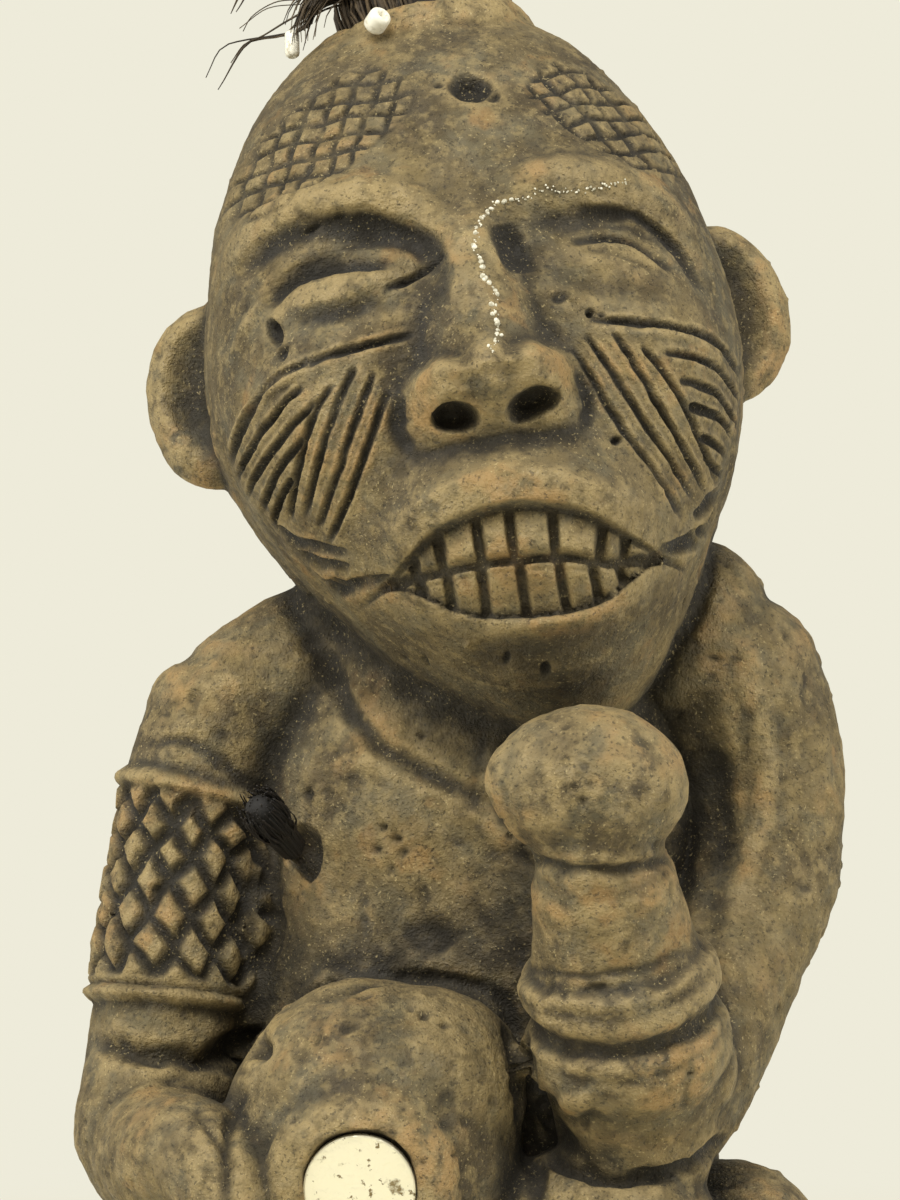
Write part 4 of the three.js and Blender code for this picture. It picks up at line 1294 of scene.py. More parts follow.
@dataclass
class Figure:
    """The seated figure of dark fired clay: one body, from its crown socket to its base."""

    skull: Skull = field(default_factory=Skull)
    cuts: FaceCuts = field(default_factory=FaceCuts)
    marks: BodyCuts = field(default_factory=BodyCuts)
    collar: Collar = field(default_factory=Collar)
    mirror: Mirror = field(default_factory=Mirror)
    bore: Bore = field(default_factory=Bore)
    view: View = field(default_factory=View)
    base: tuple[float, float, float, float] = (67.5, 58.0, 9.0, 1.6)
    voxel: float = 0.62
    triangles: int = 190000

    trunk: Limb = Limb(
        path=((0, 14, 34), (0, 14, 60), (1, 13, 90), (1.5, 13, 120), (2, 12, 144), (1, 8, 172)),
        radii=(33, 33, 30, 28, 28, 22, 19),
        widen=1.32,
    )
    shoulders: Limb = Limb(
        path=((-38, 13, 138.5), (-26, 14, 144), (0, 15, 149), (24, 14, 151.5), (38, 13, 149.5)),
        radii=(13.5, 15, 18, 17.5, 16.5),
        reference=(0.0, 0.0, 1.0),
    )
    right_arm: Limb = Limb(
        path=((-41, 13, 135), (-44.5, 11, 126), (-47.5, 9, 112), (-49.8, 6, 96),
              (-51.4, 3, 80), (-53, -3, 66)),
        radii=(14.2, 13, 12.2, 12.4, 12.4, 12.6, 13),
    )
    right_forearm: Limb = Limb(
        path=((-52.4, 0, 64), (-49.8, -15, 64.5), (-44, -29, 65.5), (-38.5, -37, 61),
              (-34, -40, 51)),
        radii=(12.8, 11.6, 9.6, 8, 6.4),
    )
    left_arm: Limb = Limb(
        path=((44, 13, 142.5), (50, 11.5, 126), (49.6, 7, 109), (42.6, -2, 93),
              (34.4, -13, 78), (28, -20, 69)),
        radii=(16.6, 14.6, 13.2, 12.5, 12.8, 13.4),
    )
    left_forearm: Limb = Limb(
        path=((28.2, -20, 66), (24.9, -31.75, 92), (20.4, -43.5, 118)),
        stations=((0, 12.6), (0.12, 13.8), (0.24, 14.6), (0.275, 15.4), (0.31, 17.0), (0.38, 17.4),
                  (0.435, 16), (0.47, 14.6), (0.5, 14.6), (0.535, 16.8), (0.585, 16.4), (0.62, 14.2),
                  (0.72, 12.8), (0.8, 12.0), (0.885, 11.6), (0.91, 10.4), (1, 10.2)),
        soften=0.008,
    )
    left_leg: Limb = Limb(
        path=((20, 24, 28), (37, 6, 44), (44.5, -10, 46), (40, -22, 29), (35.5, -31, 15),
              (32.5, -42, 13)),
        radii=(21, 19, 17, 15.5, 13, 10.6, 9, 7.4),
    )
    right_leg: Limb = Limb(
        path=((-20, 24, 28), (-37, 6, 40), (-45, -11, 42), (-42, -22, 28), (-37, -31, 15),
              (-33.5, -42, 13)),
        radii=(21, 18.5, 16.4, 15, 12.8, 10.6, 9, 7.4),
    )
    belly: Ball = Ball((-15.7, -19, 66), (24.6, 27, 28))
    lap: Ball = Ball((0, -12, 27), (36, 30, 25))
    fist: Ball = Ball((19.2, -43.5, 126.6), (15.8, 14, 12.4), (0, 5, 0))
    fillers: tuple[Ball, ...] = (
        Ball((-35.0, 9.0, 96.0), (10.0, 9.0, 22.0)),
        Ball((40.0, 12.0, 145.0), (17.0, 15.5, 14.0)),
        Ball((22.0, -22.0, 54.0), (19.0, 17.0, 14.0)),
        Ball((-8.0, -22.0, 76.0), (18.0, 19.0, 17.0)),
        Ball((30.0, -24.0, 80.0), (14.0, 13.0, 12.0)),
    )

    def base_shell(self) -> bmesh.types.BMesh:
        """The low oval base."""
        wide, deep, height, edge = self.base
        shell = bmesh.new()
        bmesh.ops.create_cone(
            shell, cap_ends=True, segments=128, radius1=wide, radius2=wide, depth=height,
            matrix=Matrix.Diagonal((1.0, deep / wide, 1.0, 1.0))
            @ Matrix.Translation((0.0, 0.0, height / 2.0)),
        )
        rims = [e for e in shell.edges if abs(e.verts[0].co.z - e.verts[1].co.z) < 1e-3]
        bmesh.ops.bevel(
            shell, geom=rims, offset=edge, segments=4, profile=0.5, affect="EDGES", material=-1
        )
        return shell

    def head_shell(self) -> bmesh.types.BMesh:
        """The head, with the floor of the socket let into the crown."""
        shell = self.skull.shell()
        u, v, w = self.skull.inside(np.array([x.co for x in shell.verts]))
        places = self.skull.out(u, self.collar.sunk(u, v, w), w)
        for vertex, place in zip(shell.verts, places):
            vertex.co = place
        return shell

    def joined(self) -> bpy.types.Mesh:
        """Every form of the figure joined into one skin."""
        shells = [
            self.base_shell(),
            self.trunk.shell(72, 120),
            self.shoulders.shell(),
            self.right_arm.shell(),
            self.right_forearm.shell(),
            self.left_arm.shell(),
            self.left_forearm.shell(64, 150),
            self.left_leg.shell(),
            self.right_leg.shell(),
            self.belly.shell(),
            self.lap.shell(),
            self.fist.shell(),
            *(filler.shell(48, 32) for filler in self.fillers),
            self.mirror.crust(),
            self.head_shell(),
            Ear(self.skull, 1).shell(),
            Ear(self.skull, -1).shell(),
            self.collar.shell(self.skull),
        ]
        whole = bmesh.new()
        for shell in shells:
            bmesh.ops.recalc_face_normals(shell, faces=shell.faces)
            part = mesh_of(shell, "form")
            whole.from_mesh(part)
            bpy.data.meshes.remove(part)
        mesh = mesh_of(whole, "figure")
        return applied(mesh, "REMESH", mode="VOXEL", voxel_size=self.voxel, adaptivity=0.0)

    def on_face(self, places: Array, normals: Array) -> tuple[Array, Array, Array, Array]:
        """u, v and w of each place, and 1 where it belongs to the front of the head."""
        u, v, w = self.skull.inside(places)
        off = np.abs(w - self.skull.surface(np.clip(u, -60, 60), np.clip(v, -60, 69.5)))
        forward = -(normals @ self.skull.turned())[:, 1]
        share = (1.0 - ease(off, 2.4, 4.5)) * ease(forward, 0.05, 0.2)
        share = share * ease(v, -59.5, -57.0) * (1.0 - ease(v, 50.0, 60.0))
        side = np.abs(u - self.skull.middle(v)) / np.maximum(self.skull.width(v), 1.0)
        return u, v, w, share * (1.0 - ease(side, 0.95, 0.995))

    def press_face(self, skin: WorkedMesh) -> None:
        """Presses the front of the head on to the exact form of the face."""
        for _ in range(3):
            u, v, w, share = self.on_face(skin.places, skin.normals)
            hit = share > 0
            pu, pv, step = u[hit], v[hit], 0.05
            level = self.skull.surface(pu, pv)
            slope_u = (self.skull.surface(pu + step, pv) - level) / step
            slope_v = (self.skull.surface(pu, pv + step) - level) / step
            gap = np.clip(w[hit] - level, -3.0, 3.0)
            norm = 1.0 + slope_u**2 + slope_v**2
            pull = (share[hit] * gap / norm)[:, None]
            move = pull * np.stack([slope_u, np.ones(len(pu)), slope_v], axis=1)
            skin.places[hit] += move @ self.skull.turned().T
            skin.write()
            skin.places[hit] += 0.12 * (skin.average(skin.places) - skin.places)[hit]

    def refined(self, mesh: bpy.types.Mesh) -> bpy.types.Mesh:
        """The mesh with the face's faces divided in four."""
        skin = WorkedMesh(mesh)
        share = self.on_face(skin.places, skin.normals)[3]
        fine = bmesh.new()
        fine.from_mesh(mesh)
        bpy.data.meshes.remove(mesh)
        edges = [e for e in fine.edges if share[e.verts[0].index] > 0 and share[e.verts[1].index] > 0]
        bmesh.ops.subdivide_edges(fine, edges=edges, cuts=1, use_grid_fill=True)
        return mesh_of(fine, "figure")

    def carve(self, skin: WorkedMesh) -> dict[str, Array]:
        """Cuts the face, the armlet, the chest hole and the seat of the mirror.

        Args:
            skin: The figure's skin.

        Returns:
            How deep in a cut each vertex is.
        """
        count = len(skin.places)
        carved = np.zeros(count)
        u, v, _, share = self.on_face(skin.places, skin.normals)
        hit = share > 0
        depth = self.cuts.carved(u[hit], v[hit]) * share[hit]
        skin.places[hit] += depth[:, None] * skin.normals[hit]
        carved[hit] = np.clip(-depth, 0.0, 1.0)
        self._cut_nostrils(skin)
        self._mark_body(skin)
        armlet, cut = Armlet(self.right_arm).height(skin.places)
        outside = ease(self._outward(skin), 0.2, 0.6)
        skin.places += (armlet * outside)[:, None] * skin.normals
        carved = np.maximum(carved, cut * outside)
        self._bore_chest(skin)
        self._seat_mirror(skin)
        skin.write()
        return {"carved": carved}

    def _outward(self, skin: WorkedMesh) -> Array:
        """How far the skin faces away from the right arm's middle line."""
        _, _, reach = self.right_arm.nearest(skin.places)
        line = self.right_arm.line()
        best = np.full(len(skin.places), 1e9)
        away = np.zeros_like(skin.places)
        for point in line[::6]:
            offset = skin.places - point
            gap = (offset**2).sum(axis=1)
            closer = gap < best
            best[closer] = gap[closer]
            away[closer] = offset[closer]
        away /= np.maximum(np.linalg.norm(away, axis=1), 1e-6)[:, None]
        return (away * skin.normals).sum(axis=1) * (reach < 18.0)

    def _mark_body(self, skin: WorkedMesh) -> None:
        """Presses the body's creases, dents and lumps where the front view shows them."""
        skin.write()
        head = self.on_face(skin.places, skin.normals)[3]
        x, y = self.view.seen(skin.places)
        share = self.view.open(skin.places, skin.normals) * (1.0 - head)
        hit = share > 0
        move = self.marks.height(x[hit], y[hit]) * share[hit]
        skin.places[hit] += move[:, None] * skin.normals[hit]
        skin.write()

    def _cut_nostrils(self, skin: WorkedMesh) -> None:
        """Sinks the nostrils into the foot of the nose."""
        u, v, w = self.skull.inside(skin.places)
        front = w > 30.0
        sunk = np.zeros(len(u))
        for pit in (Pit((-6.3, -15.7), (4.3, 2.0), 6.0, -8.0), Pit((6.3, -15.5), (5.2, 2.2), 6.0, 14.0)):
            sunk = np.minimum(sunk, pit.height(u, v))
        move = np.where(front, -sunk, 0.0)
        inward = np.array([0.0, 1.0, 0.5]) / math.hypot(1.0, 0.5)
        skin.places += move[:, None] * (inward @ self.skull.turned().T)

    def _bore_chest(self, skin: WorkedMesh) -> None:
        """Sinks the hole for the bristles."""
        walk, off, line = self.bore.along(skin.places)
        near = (walk > -6.0) & (walk < 14.0)
        sink = self.bore.depth * (1.0 - ease(off, self.bore.radius - 0.6, self.bore.radius + 1.0))
        skin.places -= np.where(near, sink, 0.0)[:, None] * line

    def _seat_mirror(self, skin: WorkedMesh) -> None:
        """Flattens the belly behind the glass."""
        local = self.mirror.local(skin.places)
        reach = np.hypot(local[:, 0], local[:, 1])
        floor = -self.mirror.recess - self.mirror.gap
        inside = (reach < self.mirror.radius + 2.0) & (np.abs(local[:, 2]) < 12.0)
        share = (1.0 - ease(reach, self.mirror.radius - 0.2, self.mirror.radius + 1.2)) * inside
        move = np.minimum(floor - local[:, 2], 0.0) * share
        outward = np.array(self.mirror.place().to_3x3())[:, 2]
        skin.places += move[:, None] * outward

    def roughen(self, skin: WorkedMesh) -> None:
        """Gives the clay the unevenness of handwork."""
        u, v, _, share = self.on_face(skin.places, skin.normals)
        mouth = share * self.skull.mouth.opening(u, v)
        calm = 1.0 - 0.6 * share - 0.3 * mouth
        broad = 0.75 * Unevenness(5, 21.0).at(skin.places) * (1.0 - 0.8 * share)
        middle = 0.36 * Unevenness(6, 6.5).at(skin.places) * calm
        small = 0.17 * Unevenness(7, 2.6).at(skin.places) * calm
        fine = 0.10 * Unevenness(8, 1.3).at(skin.places) * (1.0 - 0.3 * mouth)
        torn = Unevenness(9, 3.2, 2).at(skin.places)
        fine -= 0.35 * ease(torn, 0.72, 1.0) * calm
        fine += 0.3 * ease(-torn, 0.8, 1.05) * calm
        flat = ease(skin.places[:, 2], 0.5, 3.0)
        move = (broad + middle + small + fine) * flat
        skin.places += move[:, None] * skin.normals
        skin.places[:, 2] = np.maximum(skin.places[:, 2], 0.0)
        skin.write()

    def dress(self, skin: WorkedMesh, marks: dict[str, Array]) -> None:
        """Stores what the finish reads: hollows, wide recesses, worn places and cuts."""
        near = skin.relief(4)
        close, wide = skin.enclosed(2.2), skin.enclosed(7.0)
        # Grime and painted shade: small hollows, stored for the finish to darken.
        skin.keep("hollow", skin.soften(np.clip(-near / 0.16 + 4.0 * close, 0.0, 1.0), 1))
        skin.keep("worn", skin.soften(np.clip(near / 0.16 - 3.0 * close - 0.3, 0.0, 1.0), 2))
        # Painted shade: how enclosed each place is at a wide scale, for the finish to darken deep recesses
        # and places between parts.
        skin.keep("shelter", skin.soften(np.clip(4.0 * wide + 0.15, 0.0, 1.0), 2))
        for label, values in (("close", close), ("wide", wide), ("near", near)):
            LOG.info("%s: %s", label, np.percentile(values, (5, 25, 50, 75, 95)).round(3))
        for name, values in marks.items():
            skin.keep(name, skin.soften(values, 1))

    def build(self, finish: bpy.types.Material) -> bpy.types.Object:
        """Builds the figure and dresses it."""
        skin = WorkedMesh(self.joined())
        LOG.info("joined: %d vertices", len(skin.places))
        skin.fill_creases(10)
        skin.smooth(5, 0.5)
        self.press_face(skin)
        skin = WorkedMesh(self.refined(skin.mesh))
        self.press_face(skin)
        marks = self.carve(skin)
        self.roughen(skin)
        self.dress(skin, marks)
        count = sum(len(face.vertices) - 2 for face in skin.mesh.polygons)
        LOG.info("worked: %d triangles", count)
        mesh = applied(skin.mesh, "DECIMATE", ratio=self.triangles / count)
        return finished("figure_clay", mesh, finish)


# Fibres, beads, bristles and glass


class Strands:
    """Many thin tapered hairs, gathered into one mesh."""

    def __init__(self, seed: int) -> None:
        """Starts an empty bundle with its own random draws."""
        self.chance = np.random.default_rng(seed)
        self.lines: list[Array] = []
        self.sizes: list[Array] = []

    def add(self, knots: Sequence[Point], root: float, tip: float, points: int = 10) -> None:
        """Adds one hair.

        Args:
            knots: Points that the hair passes through.
            root: Its thickness at the root.
            tip: Its thickness at the tip.
            points: How many points it has.
        """
        line = curve_through(knots, 60)
        self.lines.append(line[np.linspace(0, 59, points).astype(int)])
        share = np.linspace(0.0, 1.0, points)
        self.sizes.append(root + (tip - root) * share**1.3)

    def mesh(self, name: str) -> bpy.types.Mesh:
        """The hairs as one mesh, each with its own shade from 0 to 1."""
        curve = bpy.data.curves.new(name, "CURVE")
        curve.dimensions = "3D"
        curve.bevel_depth = 1.0
        curve.bevel_resolution = 0
        curve.use_fill_caps = True
        for line, size in zip(self.lines, self.sizes):
            spline = curve.splines.new("POLY")
            spline.points.add(len(line) - 1)
            for point, place, radius in zip(spline.points, line, size):
                point.co = (*place, 1.0)
                point.radius = float(radius)
        holder = bpy.data.objects.new(name, curve)
        bpy.context.scene.collection.objects.link(holder)
        graph = bpy.context.evaluated_depsgraph_get()
        mesh = bpy.data.meshes.new_from_object(holder.evaluated_get(graph))
        bpy.data.objects.remove(holder)
        each = len(mesh.vertices) // len(self.lines)
        shade = np.repeat(self.chance.uniform(0.0, 1.0, len(self.lines)), each)
        layer = mesh.attributes.new("shade", "FLOAT", "POINT")
        layer.data.foreach_set("value", np.resize(shade, len(mesh.vertices)).astype(np.float32))
        return mesh


def gathered(name: str, parts: Sequence[bpy.types.Mesh]) -> bpy.types.Mesh:
    """Several meshes as one."""
    whole = bmesh.new()
    for part in parts:
        whole.from_mesh(part)
        bpy.data.meshes.remove(part)
    return mesh_of(whole, name)


@dataclass
class CrownCharge:
    """The bundle of fibre and hair in the crown socket, in the head's axes."""

    skull: Skull
    u: float = 2.6
    w: float = -1.0
    floor: float = 55.6
    rim: float = 65.5
    top: float = 97.5
    plug_radius: float = 14.2
    tuft_radius: float = 15.5
    hairs: int = 620
    clumps: int = 30
    lock_hairs: int = 110

    def core(self) -> bpy.types.Mesh:
        """The matted middle of the bundle."""
        shell = turned(
            [
                (0.0, self.floor), (self.plug_radius - 0.3, self.floor),
                (self.plug_radius - 0.2, self.rim - 1.0), (self.tuft_radius - 1.5, self.rim + 2.0),
                (self.tuft_radius - 2.0, self.rim + 8.0), (self.tuft_radius - 5.0, self.rim + 18.0),
                (self.tuft_radius - 9.0, self.top - 6.0), (0.0, self.top - 3.5),
            ],
            40,
        )
        bmesh.ops.subdivide_edges(shell, edges=shell.edges, cuts=3, use_grid_fill=True)
        places = np.array([v.co for v in shell.verts])
        lumps = Unevenness(91, 4.0, 2).at(places)
        free = ease(places[:, 2], self.rim, self.rim + 3.0)
        for vertex, lump, share in zip(shell.verts, lumps, free):
            out = Vector((vertex.co.x, vertex.co.y, 0.0))
            vertex.co += out.normalized() * (1.2 * lump * share) if out.length > 0.1 else out
        for vertex in shell.verts:
            x, y, z = vertex.co
            vertex.co = self.skull.point(self.u + x, z, self.w - y)
        return mesh_of(shell, "core")

    def tuft(self, hairs: Strands) -> None:
        """The upright hairs, drawn together in clumps."""
        chance = hairs.chance
        bearings = chance.uniform(0.0, 2.0 * math.pi, self.clumps)
        reaches = np.sqrt(chance.uniform(0.05, 1.0, self.clumps))
        tall = chance.uniform(0.55, 1.0, self.clumps)
        sweep = chance.normal(0.0, 0.35, self.clumps)
        for i in range(self.hairs):
            k = i % self.clumps
            bearing = bearings[k] + chance.normal(0.0, 0.22)
            root = (self.plug_radius - 1.0) * min(1.0, reaches[k] + chance.normal(0.0, 0.12))
            top = self.rim + (self.top - self.rim) * tall[k] * chance.uniform(0.7, 1.0)
            spread = self.tuft_radius * reaches[k] * 0.55 + chance.normal(0.0, 0.9)
            turn = sweep[k] + chance.normal(0.0, 0.15)
            knots = []
            for share, reach in ((0.0, root), (0.35, min(root * 1.16, 16.2)), (0.7, 0.5 * (root + spread)),
                                 (1.0, spread)):
                angle = bearing + turn * share
                level = self.rim - 4.0 + (top - self.rim + 4.0) * share
                wave = chance.normal(0.0, 0.5) * share
                knots.append(
                    self.skull.point(
                        self.u + reach * math.cos(angle) + wave,
                        level,
                        self.w + reach * math.sin(angle) + chance.normal(0.0, 0.4) * share,
                    )
                )
            hairs.add(knots, chance.uniform(0.22, 0.42), 0.07)

    def lock(self, hairs: Strands) -> None:
        """The lock that hangs over the collar's side."""
        chance = hairs.chance
        path = ((-5.0, 71.0, 4.0), (-10.5, 73.4, 6.5), (-15.6, 71.6, 9.5), (-18.4, 67.2, 11.2),
                (-19.6, 62.6, 11.8))
        for _ in range(self.lock_hairs):
            off = chance.normal(0.0, 1.0, 3) * np.array([1.15, 0.9, 1.7])
            length = chance.uniform(0.75, 1.0)
            line = curve_through(path, 20)[: max(8, int(20 * length))]
            knots = [
                self.skull.point(*(p + off + chance.normal(0.0, 0.22, 3)))
                for p in line[:: max(1, len(line) // 5)]
            ]
            hairs.add(knots, chance.uniform(0.2, 0.4), 0.08, 9)

    def wisps(self, hairs: Strands) -> None:
        """The few loose hairs that stand away to one side."""
        chance = hairs.chance
        seen = (
            (((312, 22), (297, 32), (266, 38), (248, 43), (223, 82), (218, 90)), 0.34),
            (((312, 20), (296, 31), (268, 37), (247, 40), (222, 48), (206, 78)), 0.2),
            (((306, 14), (285, 26), (262, 40), (246, 47), (232, 66)), 0.2),
            (((300, 2), (276, 5), (252, 20), (244, 34)), 0.12),
            (((322, 4), (300, 6), (268, 10), (240, 30)), 0.1),
            (((262, -22), (243, -6), (238, 4), (232, 17)), 0.36),
            (((268, -26), (250, -10), (240, 6), (236, 12)), 0.28),
            (((318, 16), (302, 22), (284, 38), (262, 42)), 0.22),
        )
        for line, size in seen:
            depth = chance.uniform(-2.0, 3.0)
            knots = [
                ((x - 450) * 0.1712 - 3.0, 13.0 + depth, 156.0 - (y - 600) * 0.1712) for x, y in line
            ]
            hairs.add(knots, size, 0.08, 14)

    def build(self, finish: bpy.types.Material) -> bpy.types.Object:
        """Builds the bundle and dresses it."""
        hairs = Strands(404)
        self.tuft(hairs)
        self.lock(hairs)
        self.wisps(hairs)
        mesh = gathered("crown_charge", [self.core(), hairs.mesh("hairs")])
        return finished("crown_charge_fibres", mesh, finish)


@dataclass(frozen=True)
class Bead:
    """A small bead drawn from a cane, in the head's axes."""

    name: str
    at: Point
    radius: float
    hole: float
    length: float
    turn: Point

    def build(self, skull: Skull, finish: bpy.types.Material) -> bpy.types.Object:
        """Builds the bead and dresses it."""
        half, round_off = self.length / 2.0, 0.55
        shell = turned(
            [
                (self.hole, -half + 0.25), (self.hole + 0.3, -half), (self.radius - round_off, -half),
                (self.radius - 0.12, -half + 0.35), (self.radius, -half + 0.8),
                (self.radius, half - 0.8), (self.radius - 0.12, half - 0.35),
                (self.radius - round_off, half), (self.hole + 0.3, half), (self.hole, half - 0.25),
            ],
            32,
            closed=True,
        )
        turn = Euler([math.radians(a) for a in self.turn]).to_matrix().to_4x4()
        place = Matrix.Translation((self.at[0], -self.at[2], self.at[1])) @ turn
        bmesh.ops.transform(shell, matrix=place, verts=shell.verts)
        head = Matrix(skull.turned().tolist()).to_4x4()
        whole = Matrix.Translation(skull.centre) @ head
        bmesh.ops.transform(shell, matrix=whole, verts=shell.verts)
        return finished(f"{self.name}_glass", mesh_of(shell, self.name), finish)


@dataclass
class ChestPlug:
    """The tuft of dark bristles pushed into the hole in the chest."""

    bore: Bore
    bristles: int = 260
    spread: float = 3.9

    def build(self, finish: bpy.types.Material) -> bpy.types.Object:
        """Builds the tuft and dresses it."""
        root, tip = Vector(self.bore.root), Vector(self.bore.tip)
        line = (tip - root).normalized()
        across = line.cross(Vector((0.0, 0.0, 1.0))).normalized()
        up = across.cross(line)
        length = (tip - root).length
        hairs = Strands(515)
        chance = hairs.chance
        for _ in range(self.bristles):
            angle = chance.uniform(0.0, 2.0 * math.pi)
            reach = math.sqrt(chance.uniform(0.0, 1.0))
            side = across * math.cos(angle) + up * math.sin(angle)
            stretch = chance.uniform(0.62, 1.0)
            bend = across * chance.normal(0.0, 0.5) + up * chance.normal(0.0, 0.5)
            knots = [
                root + side * reach * 2.2 - line * 1.0,
                root + side * reach * 2.7 + line * length * 0.4 * stretch,
                root + side * reach * self.spread + line * length * 0.75 * stretch + bend * 0.5,
                root + side * reach * self.spread * 0.85 + line * length * stretch + bend,
            ]
            hairs.add([tuple(k) for k in knots], chance.uniform(0.24, 0.4), 0.12, 8)
        core = Limb(
            path=(tuple(root), tuple(root.lerp(tip, 0.84))),
            stations=((0, 2.2), (0.4, 2.6), (0.8, 3.2), (1, 2.4)),
            reference=(0.0, 0.0, 1.0),
        ).shell(24, 30)
        mesh = gathered("chest_plug", [mesh_of(core, "core"), hairs.mesh("bristles")])
        return finished("chest_plug_bristles", mesh, finish)


@dataclass
class LookingGlass:
    """The small round looking glass in the belly, with a ground edge."""

    seat: Mirror
    edge: float = 0.35

    def build(self, finish: bpy.types.Material) -> bpy.types.Object:
        """Builds the glass and dresses it."""
        front = -(self.seat.recess - self.seat.gap - self.seat.thickness)
        shell = bmesh.new()
        bmesh.ops.create_cone(
            shell, cap_ends=True, segments=96, radius1=self.seat.radius, radius2=self.seat.radius,
            depth=self.seat.thickness,
            matrix=Matrix.Translation((0.0, 0.0, front - self.seat.thickness / 2.0)),
        )
        rims = [e for e in shell.edges if abs(e.verts[0].co.z - e.verts[1].co.z) < 1e-4]
        bmesh.ops.bevel(
            shell, geom=rims, offset=self.edge, segments=2, profile=0.5, affect="EDGES", material=-1
        )
        bmesh.ops.transform(shell, matrix=self.seat.place(), verts=shell.verts)
        piece = finished("belly_looking_glass", mesh_of(shell, "glass"), finish)
        for face in piece.data.polygons:
            face.use_smooth = False
        return piece


@dataclass
class RepairGlue:
    """The beads of white glue left along a mended crack from the nose to the brow."""

    skull: Skull
    cuts: FaceCuts
    crack: tuple[Spot, ...] = (
        (1.0, -8.7), (0.6, -7.4), (1.8, -6.0), (2.5, -2.9), (2.6, 0.7), (3.4, 3.1), (2.1, 5.9),
        (1.7, 9.7), (1.3, 11.7), (2.1, 13.9), (3.0, 16.9), (4.8, 19.1), (7.3, 20.8), (11.5, 20.6),
        (14.4, 21.7), (17.9, 20.9), (25.3, 21.4), (30.8, 23.6),
    )
    blobs: int = 150

    def build(self, finish: bpy.types.Material) -> bpy.types.Object:
        """Builds the glue and dresses it."""
        chance = np.random.default_rng(626)
        line = curve_through([(u, v, 0.0) for u, v in self.crack], 400)
        whole = bmesh.new()
        for i in range(self.blobs):
            share = (i + chance.uniform(0.0, 1.0)) / self.blobs
            u, v, _ = line[int(share * 399)]
            large = share < 0.62 and chance.uniform() < 0.36
            size = chance.uniform(0.34, 0.62) if large else chance.uniform(0.12, 0.26)
            u, v = u + chance.normal(0.0, 0.22), v + chance.normal(0.0, 0.22)
            spot_u, spot_v = np.array([u]), np.array([v])
            w = self.skull.surface(spot_u, spot_v) + self.cuts.carved(spot_u, spot_v)
            at = Vector(self.skull.point(u, v, float(w[0])))
            place = (
                Matrix.Translation(at)
                @ Euler(chance.uniform(0.0, 3.0, 3)).to_matrix().to_4x4()
                @ Matrix.Diagonal((size, size * chance.uniform(0.6, 1.0), size * 0.75, 1.0))
            )
            bmesh.ops.create_icosphere(whole, subdivisions=2, radius=1.0, matrix=place)
        return finished("repair_glue", mesh_of(whole, "glue"), finish)


# Finishes


Colour = tuple[int, int, int]


def linear(colour: Colour) -> tuple[float, float, float, float]:
    """A display colour from 0 to 255 as the numbers that a shader takes."""
    def channel(value: float) -> float:
        """One channel."""
        share = value / 255.0
        return share / 12.92 if share <= 0.04045 else ((share + 0.055) / 1.055) ** 2.4
    return (*(channel(c) for c in colour), 1.0)


class Shade:
    """A node tree that is filled in the order its nodes are named."""

    def __init__(self, tree: bpy.types.NodeTree) -> None:
        """Works on one tree."""
        self.tree = tree

    def node(self, kind: str, sockets: dict[str | int, object] | None = None, **settings: object):
        """Adds a node.

        Args:
            kind: The node's type.
            sockets: What each input takes: a value, or the output of another node.
            settings: The node's own settings.

        Returns:
            The node.
        """
        node = self.tree.nodes.new(kind)
        for key, value in settings.items():
            setattr(node, key, value)
        for key, value in (sockets or {}).items():
            if isinstance(value, bpy.types.NodeSocket):
                self.tree.links.new(value, node.inputs[key])
            else:
                node.inputs[key].default_value = value
        return node

    def mix(self, share: object, low: object, high: object) -> bpy.types.NodeSocket:
        """A colour between two colours."""
        node = self.node("ShaderNodeMix", {0: share, 6: low, 7: high}, data_type="RGBA")
        return node.outputs[2]

    def math(self, operation: str, a: object, b: object = 0.0, clamp: bool = False):
        """A sum on two numbers."""
        node = self.node("ShaderNodeMath", {0: a, 1: b}, operation=operation, use_clamp=clamp)
        return node.outputs[0]

    def span(self, value: object, low: float, high: float, to_low: float = 0.0, to_high: float = 1.0):
        """A number moved smoothly from one range to another."""
        node = self.node(
            "ShaderNodeMapRange",
            {"Value": value, "From Min": low, "From Max": high, "To Min": to_low, "To Max": to_high},
            interpolation_type="SMOOTHSTEP",
        )
        return node.outputs[0]

    def attribute(self, name: str):
        """A number stored on the mesh."""
        return self.node("ShaderNodeAttribute", attribute_name=name).outputs["Fac"]


def mottle_group() -> bpy.types.NodeTree:
    """The shared effect of soft patches of a given size: a mask from Object coordinates."""
    name = "Mottle"
    if name in bpy.data.node_groups:
        return bpy.data.node_groups[name]
    tree = bpy.data.node_groups.new(name, "ShaderNodeTree")
    face = tree.interface
    face.new_socket("Vector", in_out="INPUT", socket_type="NodeSocketVector")
    for label, value in (("Patches a metre", 100.0), ("Least", 0.4), ("Most", 0.6), ("Detail", 3.0)):
        socket = face.new_socket(label, in_out="INPUT", socket_type="NodeSocketFloat")
        socket.default_value = value
    face.new_socket("Mask", in_out="OUTPUT", socket_type="NodeSocketFloat")
    shade = Shade(tree)
    given = shade.node("NodeGroupInput").outputs
    noise = shade.node(
        "ShaderNodeTexNoise",
        {"Vector": given["Vector"], "Scale": given["Patches a metre"], "Detail": given["Detail"],
         "Roughness": 0.6},
    )
    mask = shade.node(
        "ShaderNodeMapRange",
        {"Value": noise.outputs["Fac"], "From Min": given["Least"], "From Max": given["Most"]},
        interpolation_type="SMOOTHSTEP",
    )
    shade.node("NodeGroupOutput", {"Mask": mask.outputs[0]})
    return tree


